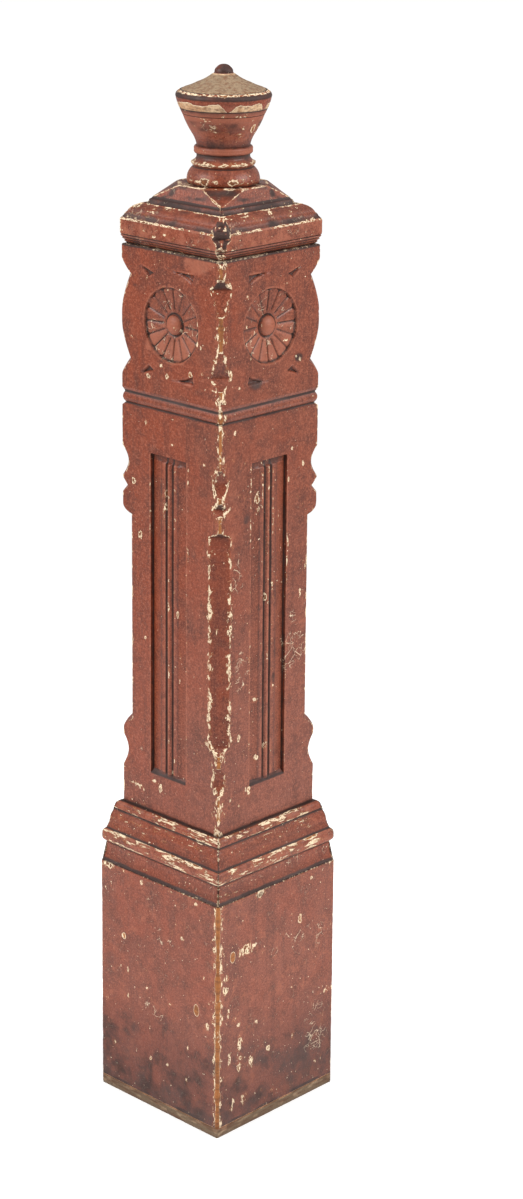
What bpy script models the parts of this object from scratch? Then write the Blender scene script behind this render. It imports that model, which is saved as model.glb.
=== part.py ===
"""Newel post of painted wood.

A square post with a carved block at its head, reeded panels and carved corners,
a moulded cap with a turned finial, and a mitred base moulding over four plinth boards.
Lengths are in metres and +Z is up. The origin is on the floor, at the middle of the foot.
The damaged corner that faces a visitor is the one at +X and -Y.
"""

import bmesh
import bpy
from math import atan2, cos, hypot, pi, radians, sin, sqrt, tau
from mathutils import Matrix, Vector

# Fit between pieces, and how far a cutter stands clear of what it cuts
gap = 0.0003
clear = 0.004

# Post
post_side = 0.165
post_height = 1.082

# Plinth boards and the moulding that sits on them
board_thickness = 0.0202
plinth_height = 0.304
moulding_height = 0.0785
moulding_top_width = 0.0085
moulding_neck_width = 0.0150

# Bead band between the shaft and the carved block
band_foot = 0.887
band_height = 0.022
bead_height = 0.013
bead_inset = 0.0005
upper_groove_depth = 0.0022
lower_groove_depth = 0.0032

# Recessed reeded panels
panel_width = 0.060
panel_top_margin = 0.0515
panel_bottom_margin = 0.050
panel_depth = 0.0047
panel_sill_slope = 1.2
reed_top_margin = 0.0065
reed_end_length = 0.0035
reed_width = 0.0068
reed_depth = 0.0008
quirk_width = 0.0034
quirk_depth = 0.0044
flat_width = 0.0072
flat_depth = 0.0023

# Corner carving of the shaft, as cuts measured in from the arris along the diagonal
corner_overrun = 0.0025
chamfer_cut = 0.0115
arris_wear = 0.0003
cove_cut = 0.0082
upper_cove_height = 0.039
vee_cut = 0.0075
vee_height = 0.019
bead_cut = 0.0010
bead_length = 0.017
upper_curl_height = 0.0085
lower_cove_height = 0.042
lower_land_height = 0.0055
lower_curl_height = 0.0150

# Corner notches of the carved block
notch_reach = 0.0517
notch_curl_height = 0.019
leaf_length = 0.0450
leaf_bulge = 0.0016
curl_bulge = 0.0010

# Rosette on each face of the block
rosette_radius = 0.0453
petal_count = 16
petal_depth_outside = 0.0022
petal_depth_inside = 0.0068
petal_groove_depth = 0.0024
petal_round_end = 0.0045
rosette_rim_depth = 0.0034
rosette_floor_depth = 0.0080
button_radius = 0.0125
button_ring_width = 0.0020
button_depth = 0.0010

# Three-sided pockets in the corners round each rosette: short ones, and ones with a long tail
pocket_circle_radius = 0.0655
pocket_depth = 0.0036
pocket_arc_steps = 4
pocket_floor_share = 0.22
short_pocket_start = radians(54)
short_pocket_end = radians(64)
short_pocket_reach = 0.0185
short_pocket_angle = radians(51.8)
tail_pocket_start = radians(57)
tail_pocket_end = radians(88)
tail_pocket_reach = 0.0100
tail_pocket_angle = radians(60)

# Cap, as insets from the face of the post
cap_overhang = 0.0015
cap_foot_inset = 0.0045
cap_fascia_height = 0.0300
cap_fascia_round = 0.0140
fascia_line_depth = 0.0006
fascia_line_pitch = 0.0042
fascia_line_count = 3
cap_ovolo_width = 0.0177
cap_ovolo_height = 0.0180
cap_ovolo_bulge = 0.0024
cap_step_width = 0.0027
cap_step_drop = 0.0018
cap_slope_width = 0.0066
cap_block_foot_height = 0.0550
cap_block_taper = 0.0049
cap_height = 0.0721
cap_block_corner_cut = 0.0308
cap_block_lean = 0.0013
cap_break_leg = 0.0115

# Finial: each ring's radius, and its height above the finial's foot
finial_steps = 30
finial_shift = 0.0016
finial_foot_radius = 0.0420
finial_foot_ring_radius = 0.0430
finial_foot_ring_height = 0.0186
finial_flare_radius = 0.0381
finial_flare_height = 0.0248
finial_neck_radius = 0.0314
finial_neck_foot = 0.0306
finial_bead_radius = 0.0345
finial_bead_foot = 0.0345
finial_bead_height = 0.0100
finial_rim_radius = 0.0562
finial_rim_height = 0.1022
finial_rim_round = 0.0062
finial_cup_radius = 0.0372
finial_cup_foot = 0.0586
finial_cone_radius = 0.0508
finial_knob_radius = 0.0120
finial_knob_foot = 0.1288
finial_height = 0.1382
finial_line_depth = 0.0007
finial_line_gap = 0.0068

half = post_side / 2
diagonal = sqrt(2)
cap_fascia_half = half + cap_overhang
cap_foot_half = half - cap_foot_inset
cap_ovolo_half = cap_fascia_half - cap_ovolo_width
cap_step_half = cap_ovolo_half - cap_step_width
cap_block_foot_half = cap_step_half - cap_slope_width
cap_block_top_half = cap_block_foot_half - cap_block_taper
block_centre = (band_foot + band_height + post_height) / 2
moulding_top = plinth_height + gap + moulding_height
panel_top = band_foot - panel_top_margin
panel_bottom = moulding_top + panel_bottom_margin
cap_foot = post_height + gap
finial_foot = cap_foot + cap_height + gap


def clear_scene():
    for obj in list(bpy.data.objects):
        bpy.data.objects.remove(obj, do_unlink=True)


def make_collection(name):
    collection = bpy.data.collections.new(name)
    bpy.context.scene.collection.children.link(collection)
    return collection


def paint(name, colour, roughness):
    """A Principled material for one piece."""
    material = bpy.data.materials.new(name)
    material.use_nodes = True
    shader = material.node_tree.nodes["Principled BSDF"]
    shader.inputs["Base Color"].default_value = (*colour, 1.0)
    shader.inputs["Roughness"].default_value = roughness
    shader.inputs["Metallic"].default_value = 0.0
    material.diffuse_color = (*colour, 1.0)
    return material


def add_object(name, shape, collection, material=None):
    """Turns a bmesh into an object of its own."""
    bmesh.ops.recalc_face_normals(shape, faces=shape.faces)
    mesh = bpy.data.meshes.new(name)
    shape.to_mesh(mesh)
    shape.free()
    obj = bpy.data.objects.new(name, mesh)
    collection.objects.link(obj)
    if material:
        mesh.materials.append(material)
    return obj


def add_cutter(name, shape, collection):
    """A cutter, or a form to be joined on, which isn't a piece of its own."""
    cutter = add_object(name, shape, collection)
    cutter.hide_render = True
    cutter.display_type = "WIRE"
    return cutter


def carve(obj, cutter, operation="DIFFERENCE"):
    modifier = obj.modifiers.new(cutter.name, "BOOLEAN")
    modifier.operation = operation
    modifier.object = cutter
    modifier.solver = "EXACT"


def add_loft(shape, rings):
    """Joins rings of equal count by quads, and closes the first and last ring."""
    rows = [[shape.verts.new(point) for point in ring] for ring in rings]
    count = len(rows[0])
    for low, high in zip(rows, rows[1:]):
        for i in range(count):
            j = (i + 1) % count
            shape.faces.new((low[i], low[j], high[j], high[i]))
    shape.faces.new(rows[0][::-1])
    shape.faces.new(rows[-1])


def on_four_sides(shape, add, mirrored=False):
    """Adds the same form at each quarter turn about Z, with every other one mirrored if asked."""
    for quarter in range(4):
        piece = bmesh.new()
        add(piece)
        if mirrored and quarter % 2:
            bmesh.ops.transform(piece, matrix=Matrix.Diagonal((-1.0, 1.0, 1.0, 1.0)), verts=piece.verts)
        turn = Matrix.Rotation(quarter * pi / 2, 4, "Z")
        bmesh.ops.transform(piece, matrix=turn, verts=piece.verts)
        mesh = bpy.data.meshes.new("quarter")
        piece.to_mesh(mesh)
        piece.free()
        shape.from_mesh(mesh)
        bpy.data.meshes.remove(mesh)


def arc(start, end, bulge, steps):
    """Points on the circular arc from start to end, start left out.

    bulge is the height of the arc over its chord, to the left of the way from start to end.
    """
    if abs(bulge) < 1e-9:
        return [end]
    chord = Vector(end) - Vector(start)
    length = chord.length
    radius = (length * length / 4 + bulge * bulge) / (2 * bulge)
    left = Vector((-chord.y, chord.x)) / length
    centre = (Vector(start) + Vector(end)) / 2 - left * (radius - bulge)
    first = atan2(start[1] - centre.y, start[0] - centre.x)
    last = atan2(end[1] - centre.y, end[0] - centre.x)
    turn = last - first
    if radius > 0 and turn > 0:
        turn -= tau
    if radius < 0 and turn < 0:
        turn += tau
    size = abs(radius)
    points = [
        (centre.x + size * cos(first + turn * i / steps), centre.y + size * sin(first + turn * i / steps))
        for i in range(1, steps)
    ]
    return points + [tuple(end)]


def face_point(across, depth, height):
    """A point on or below the -Y face of the post."""
    return Vector((across, depth - half, height))


def corner_point(along, cut, height):
    """A point on or below the arris at +X and -Y, moved along the line that crosses the corner."""
    return Vector((half + (along - cut) / diagonal, -half + (along + cut) / diagonal, height))


def square_turned(name, profile, collection, material=None):
    """A profile of half widths and heights carried round a square, by a Screw of four steps."""
    mesh = bpy.data.meshes.new(name)
    points = [(width * diagonal, 0.0, height) for width, height in profile]
    edges = [(i, i + 1) for i in range(len(points) - 1)]
    if profile[0][0] > 0.0:
        edges.append((len(points) - 1, 0))
    mesh.from_pydata(points, edges, [])
    obj = bpy.data.objects.new(name, mesh)
    obj.rotation_euler.z = pi / 4
    collection.objects.link(obj)
    add_screw(obj, 4)
    if material:
        mesh.materials.append(material)
    return obj


def add_screw(obj, steps, smooth=False):
    screw = obj.modifiers.new("Turned", "SCREW")
    screw.axis = "Z"
    screw.steps = steps
    screw.render_steps = steps
    screw.use_merge_vertices = True
    screw.merge_threshold = 0.00001
    screw.use_smooth_shade = smooth


def half_panel_section():
    """Half of a panel's cross-section, from the middle outwards, as (across, depth) points."""
    reed_edge = reed_width / 2
    quirk_edge = reed_edge + quirk_width
    flat_edge = quirk_edge + flat_width
    edge = panel_width / 2
    section = [(0.0, reed_depth)]
    section += arc(section[-1], (reed_edge, flat_depth), -reed_width / 14, 2)
    section.append((reed_edge + quirk_width * 0.5, quirk_depth))
    section.append((quirk_edge, flat_depth))
    section.append((flat_edge, flat_depth * 0.95))
    section += arc(section[-1], (edge - gap, panel_depth), flat_depth * 0.3, 3)
    return section


def add_panel_cut(shape):
    """The hollow of one reeded panel: a sloping sill below, and reeds that end short of the top."""
    right = half_panel_section()
    left = [(-across, depth) for across, depth in right[:0:-1]]
    edge = panel_width / 2
    slope = clear / panel_depth * gap
    outline = [(-edge - slope, -clear)] + left + right + [(edge + slope, -clear)]
    plain = [(a, panel_depth if d > 0.0 else d) for a, d in outline]
    reed_top = panel_top - reed_top_margin
    sill = [face_point(a, d, panel_bottom + d * panel_sill_slope) for a, d in outline]
    reed_end = [face_point(a, d, reed_top - reed_end_length) for a, d in outline]
    reed_foot = [face_point(a, d, reed_top) for a, d in plain]
    top = [face_point(a, d, panel_top) for a, d in plain]
    add_loft(shape, [sill, reed_end, reed_foot, top])
    bmesh.ops.dissolve_limit(shape, angle_limit=radians(0.2), verts=shape.verts, edges=shape.edges)


def shaft_corner_outline():
    """(height, cut) points of the shaft's corner carving, from the top down."""
    top = panel_top + corner_overrun
    points = [(top, arris_wear)]
    points += arc(points[-1], (top - upper_cove_height, arris_wear), -(cove_cut - arris_wear), 8)
    vee_foot = points[-1][0] - vee_height
    points.append((vee_foot + vee_height * 0.38, vee_cut))
    points.append((vee_foot, bead_cut))
    bead_foot = vee_foot - bead_length
    points += arc(points[-1], (bead_foot, bead_cut), bead_cut * 0.5, 2)
    points += arc(points[-1], (bead_foot - upper_curl_height, chamfer_cut), 0.0022, 3)
    bottom = panel_bottom - corner_overrun
    land_foot = bottom + lower_cove_height
    land_top = land_foot + lower_land_height
    points.append((land_top + lower_curl_height, chamfer_cut))
    points += arc(points[-1], (land_top, arris_wear), 0.0022, 3)
    points.append((land_foot, arris_wear))
    points += arc(points[-1], (bottom, arris_wear), -(cove_cut - arris_wear) * 0.85, 8)
    return points


def block_corner_outline():
    """(height, cut) points of the two notches at a corner of the block, from the top down."""
    upper = block_centre + notch_reach
    lower = block_centre - notch_reach
    points = [(upper + notch_curl_height, arris_wear)]
    points += arc(points[-1], (upper, chamfer_cut), curl_bulge, 3)
    points += arc(points[-1], (upper - leaf_length, arris_wear), leaf_bulge, 5)
    points.append((lower + leaf_length, arris_wear))
    points += arc(points[-1], (lower, chamfer_cut), leaf_bulge, 5)
    points += arc(points[-1], (lower - notch_curl_height, arris_wear), curl_bulge, 3)
    return points


def add_corner_cut(shape, outline):
    """A cut straight across the corner, whose depth follows an outline down the post."""
    reach = 2 * chamfer_cut
    closed = [(outline[-1][0], -clear)] + outline[::-1] + [(outline[0][0], -clear)]
    near = [corner_point(-reach, cut, height) for height, cut in closed]
    far = [corner_point(reach, cut, height) for height, cut in closed]
    add_loft(shape, [near, far])


def petal_dip(angle):
    """How far down the side of its petal an angle is: 0 on the crown and 1 in the groove."""
    pitch = tau / petal_count
    offset = abs((angle / pitch) % 1.0 - 0.5) * 2
    return 1.0 - sqrt(max(0.0, 1.0 - offset * offset))


def petal_angles():
    """Angles round the rosette: the groove, two shoulders and the crown of each petal."""
    pitch = tau / petal_count
    return [(petal + share) * pitch for petal in range(petal_count) for share in (0.0, 0.15, 0.5, 0.85)]


def add_rosette_cut(shape):
    """The dished hollow of one rosette, with its petals left standing."""
    ring_radius = button_radius + button_ring_width
    span = rosette_radius - ring_radius
    depth_span = petal_depth_inside - petal_depth_outside
    rings = []

    def ring(radius, depth, groove, round_end=0.0):
        points = []
        for angle in petal_angles():
            dip = petal_dip(angle)
            r = radius - round_end * dip
            point = face_point(r * cos(angle), depth + groove * dip, block_centre + r * sin(angle))
            points.append(point)
        rings.append(points)

    ring(ring_radius, rosette_floor_depth, 0.0)
    ring(ring_radius + 0.03 * span, petal_depth_inside, 0.3 * petal_groove_depth)
    ring(ring_radius + 0.45 * span, petal_depth_inside - 0.5 * depth_span, 0.9 * petal_groove_depth)
    ring(ring_radius + 0.85 * span, petal_depth_outside, petal_groove_depth, 0.4 * petal_round_end)
    ring(rosette_radius - 0.05 * span, petal_depth_outside, petal_groove_depth * 0.6, petal_round_end)
    ring(rosette_radius, rosette_rim_depth, 0.0)
    ring(rosette_radius + gap, -clear, 0.0)
    add_loft(shape, rings)


def add_button(shape):
    """The round button at the middle of a rosette."""
    height = rosette_floor_depth - button_depth
    place = Matrix.Translation(face_point(0.0, rosette_floor_depth, block_centre))
    size = Matrix.Diagonal((button_radius, height, button_radius, 1.0))
    lie = Matrix.Rotation(pi / 2, 4, "X")
    bmesh.ops.create_uvsphere(shape, u_segments=16, v_segments=8, radius=1.0, matrix=place @ size @ lie)


def pocket_outline(start, end, reach, angle):
    """(across, up) points round one pocket, from the rosette's centre: the arc, then its far corner."""
    points = []
    for i in range(pocket_arc_steps + 1):
        turn = start + (end - start) * i / pocket_arc_steps
        points.append((pocket_circle_radius * cos(turn), pocket_circle_radius * sin(turn)))
    corner = pocket_circle_radius + reach
    points.append((corner * cos(angle), corner * sin(angle)))
    return points


def add_pocket_cuts(shape):
    """Four pockets of one face, with the tailed ones on its +X side, each with walls that slope in."""
    short = pocket_outline(short_pocket_start, short_pocket_end, short_pocket_reach, short_pocket_angle)
    tailed = pocket_outline(tail_pocket_start, tail_pocket_end, tail_pocket_reach, tail_pocket_angle)
    for side, rise, outline in ((1, 1, tailed), (-1, 1, short), (-1, -1, short), (1, -1, tailed)):
        deep = (Vector(outline[0]) + Vector(outline[-2]) + Vector(outline[-1]) * 2) / 4
        rings = []
        for depth in (-pocket_depth * 0.3, pocket_depth):
            share = 1.0 - (1.0 - pocket_floor_share) * depth / pocket_depth
            spots = [deep.lerp(Vector(point), share) for point in outline]
            rings.append([face_point(side * spot.x, depth, block_centre + rise * spot.y) for spot in spots])
        add_loft(shape, rings)


def band_outline():
    """(half width, height) points of the two grooves and the bead from the bottom up, closed outside."""
    top = band_foot + band_height
    middle = band_foot + band_height * 0.45
    bead_top = middle + bead_height / 2
    bead_bottom = middle - bead_height / 2
    points = [(half + clear, top + clear * 0.2), (half, top)]
    points.append((half - upper_groove_depth, bead_top + 0.001))
    points.append((half - upper_groove_depth, bead_top))
    bulge = (upper_groove_depth + lower_groove_depth) / 2 - bead_inset
    points += arc(points[-1], (half - lower_groove_depth, bead_bottom), bulge, 6)
    points.append((half, band_foot))
    points.append((half + clear, band_foot - clear * 0.2))
    return points[::-1]


def make_shaft(collection, cutters, material):
    """The post itself, from the floor to the underside of the cap, carved from one piece."""
    body = bmesh.new()
    place = Matrix.Translation((0.0, 0.0, post_height / 2))
    size = Matrix.Diagonal((post_side, post_side, post_height, 1.0))
    bmesh.ops.create_cube(body, size=1.0, matrix=place @ size)
    shaft = add_object("shaft", body, collection, material)

    corners = bmesh.new()
    on_four_sides(corners, lambda piece: add_corner_cut(piece, shaft_corner_outline()))
    on_four_sides(corners, lambda piece: add_corner_cut(piece, block_corner_outline()))
    carve(shaft, add_cutter("corner_cuts", corners, cutters))

    band = square_turned("band_cut", band_outline(), cutters)
    band.hide_render = True
    band.display_type = "WIRE"
    carve(shaft, band)

    for name, add, mirrored in (
        ("panel_cuts", add_panel_cut, False),
        ("rosette_cuts", add_rosette_cut, False),
        ("pocket_cuts", add_pocket_cuts, True),
    ):
        shape = bmesh.new()
        on_four_sides(shape, add, mirrored)
        carve(shaft, add_cutter(name, shape, cutters))

    buttons = bmesh.new()
    on_four_sides(buttons, add_button)
    carve(shaft, add_cutter("buttons", buttons, cutters), "UNION")
    return shaft


def make_plinth(collection, material):
    """Four boards round the foot of the post, mitred at the corners."""
    inside = half + gap
    outside = inside + board_thickness
    for name, quarter in (("front", 0), ("right", 1), ("back", 2), ("left", 3)):
        board = bmesh.new()
        rings = []
        for height in (0.0, plinth_height):
            rings.append(
                [
                    Vector((-outside + gap, -outside, height)),
                    Vector((outside - gap, -outside, height)),
                    Vector((inside - gap, -inside, height)),
                    Vector((-inside + gap, -inside, height)),
                ]
            )
        add_loft(board, rings)
        bmesh.ops.rotate(board, verts=board.verts, matrix=Matrix.Rotation(quarter * pi / 2, 3, "Z"))
        add_object("plinth_board_" + name, board, collection, material)


def moulding_outline():
    """(half width, height) points round the base moulding's section, from its inner foot."""
    inside = half + gap
    outside = inside + board_thickness
    foot = plinth_height + gap
    neck = inside + moulding_neck_width
    top_width = inside + moulding_top_width
    lip_foot = foot + moulding_height * 0.32
    lip_top = foot + moulding_height * 0.53
    bead_foot = foot + moulding_height * 0.87
    points = [(inside, foot), (outside - 0.0006, foot)]
    points += arc(points[-1], (neck, lip_foot - 0.0010), 0.0010, 4)
    points.append((outside - 0.0026, lip_foot + 0.0006))
    points += arc(points[-1], (outside - 0.0030, lip_top), -0.0026, 5)
    points.append((outside - 0.0040, lip_top + 0.0006))
    middle = ((outside - 0.0040 + top_width + 0.0006) / 2, (lip_top + bead_foot) / 2 - 0.001)
    points += arc(points[-1], middle, 0.0005, 2)
    points += arc(points[-1], (top_width + 0.0006, bead_foot), -0.0005, 2)
    points.append((top_width - 0.0002, bead_foot + 0.0008))
    points += arc(points[-1], (inside + 0.0042, foot + moulding_height - 0.0005), -0.0016, 4)
    points.append((inside, foot + moulding_height))
    return points


def make_base_moulding(collection, material):
    """Four lengths of moulding round the post, on top of the plinth and mitred at the corners."""
    for name, quarter in (("front", 0), ("right", 1), ("back", 2), ("left", 3)):
        length = bmesh.new()
        outline = moulding_outline()
        left_end = [Vector((-width + gap, -width, height)) for width, height in outline]
        right_end = [Vector((width - gap, -width, height)) for width, height in outline]
        add_loft(length, [left_end, right_end])
        bmesh.ops.rotate(length, verts=length.verts, matrix=Matrix.Rotation(quarter * pi / 2, 3, "Z"))
        add_object("base_moulding_" + name, length, collection, material)


def cap_profile():
    """(half width, height) points of the cap below its top block, from the middle of the top down."""
    fascia_top = cap_foot + cap_fascia_height
    ovolo_top = fascia_top + cap_ovolo_height
    block_foot = cap_foot + cap_block_foot_height
    inner = cap_block_foot_half - 0.0010
    points = [(0.0, block_foot), (inner, block_foot)]
    points.append((cap_block_foot_half + 0.0008, block_foot - 0.0010))
    points += arc(points[-1], (cap_step_half, ovolo_top - cap_step_drop), -0.0006, 2)
    points.append((cap_ovolo_half, ovolo_top))
    points += arc(points[-1], (cap_fascia_half - 0.0004, fascia_top), cap_ovolo_bulge, 6)
    points.append((cap_fascia_half, fascia_top - 0.0008))
    round_top = cap_foot + cap_fascia_round
    points.append((cap_fascia_half, round_top))
    count = fascia_line_count
    for line in range(1, count + 1):
        share = line / (count + 1)
        height = round_top - line * fascia_line_pitch * 0.8
        width = cap_fascia_half - (cap_fascia_half - cap_foot_half) * share * share
        points.append((width, height + fascia_line_depth))
        points.append((width - fascia_line_depth, height))
        points.append((width, height - fascia_line_depth))
    points.append((cap_foot_half, cap_foot))
    points.append((0.0, cap_foot))
    return points


def add_cap_block(shape):
    """The cap's top block: steep sides, and corners cut to three-sided facets that end in a point."""
    foot = cap_foot + cap_block_foot_height
    top = cap_foot + cap_height
    wide = cap_block_foot_half
    edge = cap_block_top_half
    cut = edge - cap_block_corner_cut
    lean = cap_block_lean
    root = foot - clear
    points = []
    for side in (-1, 1):
        for rise in (-1, 1):
            points.append((side * wide, rise * wide, foot))
            points.append((side * wide * 0.9, rise * wide * 0.9, root))
            points.append((side * edge + lean, rise * cut + lean, top))
            points.append((side * cut + lean, rise * edge + lean, top))
    verts = [shape.verts.new(point) for point in points]
    bmesh.ops.convex_hull(shape, input=verts)


def add_cap_break(shape):
    """The sliver of wood that is broken away from the front corner of the cap."""
    fascia_top = cap_foot + cap_fascia_height
    reach = cap_fascia_half + clear
    rings = []
    for height, share in (
        (cap_foot + cap_fascia_height * 0.1, 0.25),
        (cap_foot + cap_fascia_height * 0.6, 0.75),
        (fascia_top - cap_fascia_height * 0.1, 0.9),
        (fascia_top + cap_ovolo_height * 0.6, 1.0),
    ):
        near = 2 * cap_fascia_half - cap_break_leg * share - reach
        ring = ((near, -reach, height), (reach, -reach, height), (reach, -near, height))
        rings.append([Vector(point) for point in ring])
    add_loft(shape, rings)


def make_cap(collection, cutters, material):
    """The cap: a fascia with fine lines, an ovolo, a step and a block with cut corners."""
    cap = square_turned("cap", cap_profile(), collection, material)
    block = bmesh.new()
    add_cap_block(block)
    carve(cap, add_cutter("cap_block", block, cutters), "UNION")
    wedge = bmesh.new()
    add_cap_break(wedge)
    carve(cap, add_cutter("cap_break", wedge, cutters))
    return cap


def finial_profile():
    """(radius, height above its foot) points of the turned finial, from the knob down."""
    knob_foot = finial_knob_foot
    bead_middle = finial_bead_foot + finial_bead_height / 2
    bead_top = finial_bead_foot + finial_bead_height
    rim_top = finial_rim_height + finial_rim_round
    points = [(0.0, finial_height)]
    points += arc(points[-1], (finial_knob_radius, knob_foot), finial_knob_radius * 0.30, 5)
    points.append((finial_knob_radius + 0.0020, knob_foot - 0.0026))
    points += arc(points[-1], (finial_cone_radius, rim_top + 0.0016), -0.0022, 6)
    points.append((finial_cone_radius + 0.0004, rim_top + 0.0002))
    points.append((finial_cone_radius + 0.0011, rim_top))
    points += arc(points[-1], (finial_rim_radius, finial_rim_height), 0.0012, 4)
    drop = finial_rim_height - finial_cup_foot
    slope = (finial_rim_radius - finial_cup_radius) / drop
    for fall in (drop * 0.32, drop * 0.32 + finial_line_gap):
        height = finial_rim_height - fall
        width = finial_rim_radius - fall * slope + 0.0012
        points.append((width + slope * 0.0006, height + 0.0006))
        points.append((width - finial_line_depth, height))
        points.append((width - slope * 0.0006, height - 0.0006))
    points += arc(points[-1], (finial_cup_radius, finial_cup_foot), 0.0006, 3)
    points += arc(points[-1], (finial_neck_radius, bead_top), -0.0008, 3)
    points += arc(points[-1], (finial_bead_radius, bead_middle), 0.0016, 3)
    points += arc(points[-1], (finial_neck_radius + 0.0002, finial_bead_foot), 0.0016, 3)
    points.append((finial_neck_radius, finial_neck_foot))
    points += arc(points[-1], (finial_flare_radius, finial_flare_height), -0.0008, 3)
    points.append((finial_flare_radius - 0.0020, finial_flare_height - 0.0038))
    points.append((finial_flare_radius - 0.0026, finial_flare_height - 0.0050))
    points.append((finial_flare_radius - 0.0012, finial_foot_ring_height))
    points += arc(points[-1], (finial_foot_ring_radius, finial_foot_ring_height * 0.3), 0.0014, 4)
    points.append((finial_foot_radius, 0.0))
    points.append((0.0, 0.0))
    return points


def make_finial(collection, material):
    """The turned finial, which stands on the cap's block."""
    mesh = bpy.data.meshes.new("finial")
    points = [(radius, 0.0, height) for radius, height in finial_profile()]
    mesh.from_pydata(points, [(i, i + 1) for i in range(len(points) - 1)], [])
    finial = bpy.data.objects.new("finial", mesh)
    finial.location = (finial_shift, finial_shift, finial_foot)
    collection.objects.link(finial)
    add_screw(finial, finial_steps, smooth=True)
    mesh.materials.append(material)
    return finial


def main():
    clear_scene()
    pieces = make_collection("Newel post")
    cutters = make_collection("Cutters")
    make_shaft(pieces, cutters, paint("shaft paint", (0.270, 0.088, 0.055), 0.55))
    make_plinth(pieces, paint("plinth paint", (0.285, 0.098, 0.063), 0.55))
    make_base_moulding(pieces, paint("moulding paint", (0.255, 0.085, 0.055), 0.55))
    make_cap(pieces, cutters, paint("cap paint", (0.240, 0.080, 0.055), 0.60))
    make_finial(pieces, paint("finial paint", (0.235, 0.095, 0.060), 0.60))


if __name__ == "__main__":
    main()
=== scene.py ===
import functools
import math
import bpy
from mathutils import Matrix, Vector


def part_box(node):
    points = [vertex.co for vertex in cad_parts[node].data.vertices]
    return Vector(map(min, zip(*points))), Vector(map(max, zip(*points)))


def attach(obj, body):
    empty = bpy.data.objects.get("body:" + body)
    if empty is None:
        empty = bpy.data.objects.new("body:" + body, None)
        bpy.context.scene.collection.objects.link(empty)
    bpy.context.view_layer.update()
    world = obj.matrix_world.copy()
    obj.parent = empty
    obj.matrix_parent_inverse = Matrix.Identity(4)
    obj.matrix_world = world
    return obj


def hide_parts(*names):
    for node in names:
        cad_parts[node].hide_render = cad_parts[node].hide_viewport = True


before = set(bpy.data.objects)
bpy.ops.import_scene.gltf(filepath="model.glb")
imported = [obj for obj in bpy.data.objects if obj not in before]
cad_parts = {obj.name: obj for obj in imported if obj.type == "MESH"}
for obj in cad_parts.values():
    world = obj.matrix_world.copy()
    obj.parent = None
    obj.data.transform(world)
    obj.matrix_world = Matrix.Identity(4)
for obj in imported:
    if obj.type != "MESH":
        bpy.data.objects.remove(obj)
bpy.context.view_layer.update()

from types import SimpleNamespace

import bpy
import numpy as np
from bpy.props import FloatProperty, FloatVectorProperty, IntProperty, PointerProperty
from mathutils import Matrix, Vector

bl_info = {
    "name": "Painted newel post",
    "version": (1, 0, 0),
    "blender": (4, 5, 0),
    "location": "3D View > Sidebar > Newel post",
    "description": "Old painted newel post with carved rosettes, reeded panels and a turned finial",
    "category": "Add Mesh",
}

MM = 0.001
SIDES = ("front", "right", "back", "left")
FRONT_CORNER = 0
# Places of a corner's columns, from 0 at one face to 1 at the next
CORNER_STEPS = np.array([0.07, 0.3, 0.5, 0.7, 0.93])
# Values at each point of a mesh that the paint reads
# The dark mark holds dirt, and also painted shade in hollows, creases and joints
# The rubbed mark holds paler worn paint, and also a painted highlight on crests and edges
MARKS = ("wear", "grime_and_shade", "bare", "rub_and_highlight", "scratch", "tint")
# Shift of the random fields from one side to the next, in mm
FACE_SHIFT = 1000.0
# Depth of the corner carving along its diagonal, and reach of the block's notches from its centre, in mm
CARVING_DEPTH = 11.5
NOTCH_REACH = 51.7
# A distance in mm past anything on the post
FAR = 1000.0
# Grid points this share of the spacing from a rosette's rim are moved onto it
RIM_SHARE = 0.62


def box_mm(node):
    """The low and the high corner of a CAD node's box in mm."""
    low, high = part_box(node)
    return np.array(low) / MM, np.array(high) / MM


SHAFT_HIGH = box_mm("shaft")[1]
PLINTH_HIGH = box_mm("plinth_board_front")[1]
MOULDING_LOW, MOULDING_HIGH = box_mm("base_moulding_front")
CAP_LOW, CAP_HIGH = box_mm("cap")
FINIAL_FOOT = box_mm("finial")[0][2]

# Marks on the front face, then on the right face, listed one by one: (u, z, half width, half height, k) in
# mm.
# The marks of wear are flakes, and all the others are soft patches.
BLOCK_MARKS = {
    "wear": (
        (
            (42, 1003, 1.8, 4, 0.4), (44, 981, 2.2, 4, 0.5), (-16, 945, 3.2, 2.6, 0.4),
            (33, 943, 3.6, 4.4, 0.9), (50, 946, 2.8, 2.8, 0.4), (-6, 934, 3, 3, 0.4),
            (-38, 929, 3.6, 3, 0.8), (6, 992, 1.4, 2.2, 0.3), (11, 990, 1.4, 2.4, 0.3),
            (-8, 1036, 2, 1.4, 0.3), (-12, 1040, 1.4, 1.4, 0.3), (49, 977, 1.2, 1.6, 0.3),
            (72, 930, 7, 1.3, 0.5), (-60, 1046, 1.2, 2, 0.3), (-66, 973, 2, 1.2, 0.3),
        ),
        (
            (-39, 1035, 2, 2.6, 0.4), (-37, 1000, 1.4, 3, 0.4), (50, 949, 3.4, 4, 0.9),
            (44, 953, 1.6, 2, 0.4), (26, 1043, 1.3, 1.2, 0.3), (-52, 930, 2.4, 1.2, 0.3),
            (28, 974, 2.8, 1.4, 0.3),
        ),
    ),
    "rub_and_highlight": (
        ((42, 1074, 26, 13, 1), (-35, 968, 9, 9, 0.9), (30, 1052, 22, 3, 0.5)),
        ((33, 972, 8, 10, 0.9), (-20, 962, 14, 12, 0.6)),
    ),
    "grime_and_shade": (
        ((-60, 1035, 6, 3, 0.5),),
        ((-24, 930, 13, 8, 0.75), (48, 951, 8, 6, 0.9), (10, 1020, 16, 14, 0.25)),
    ),
}
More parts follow.
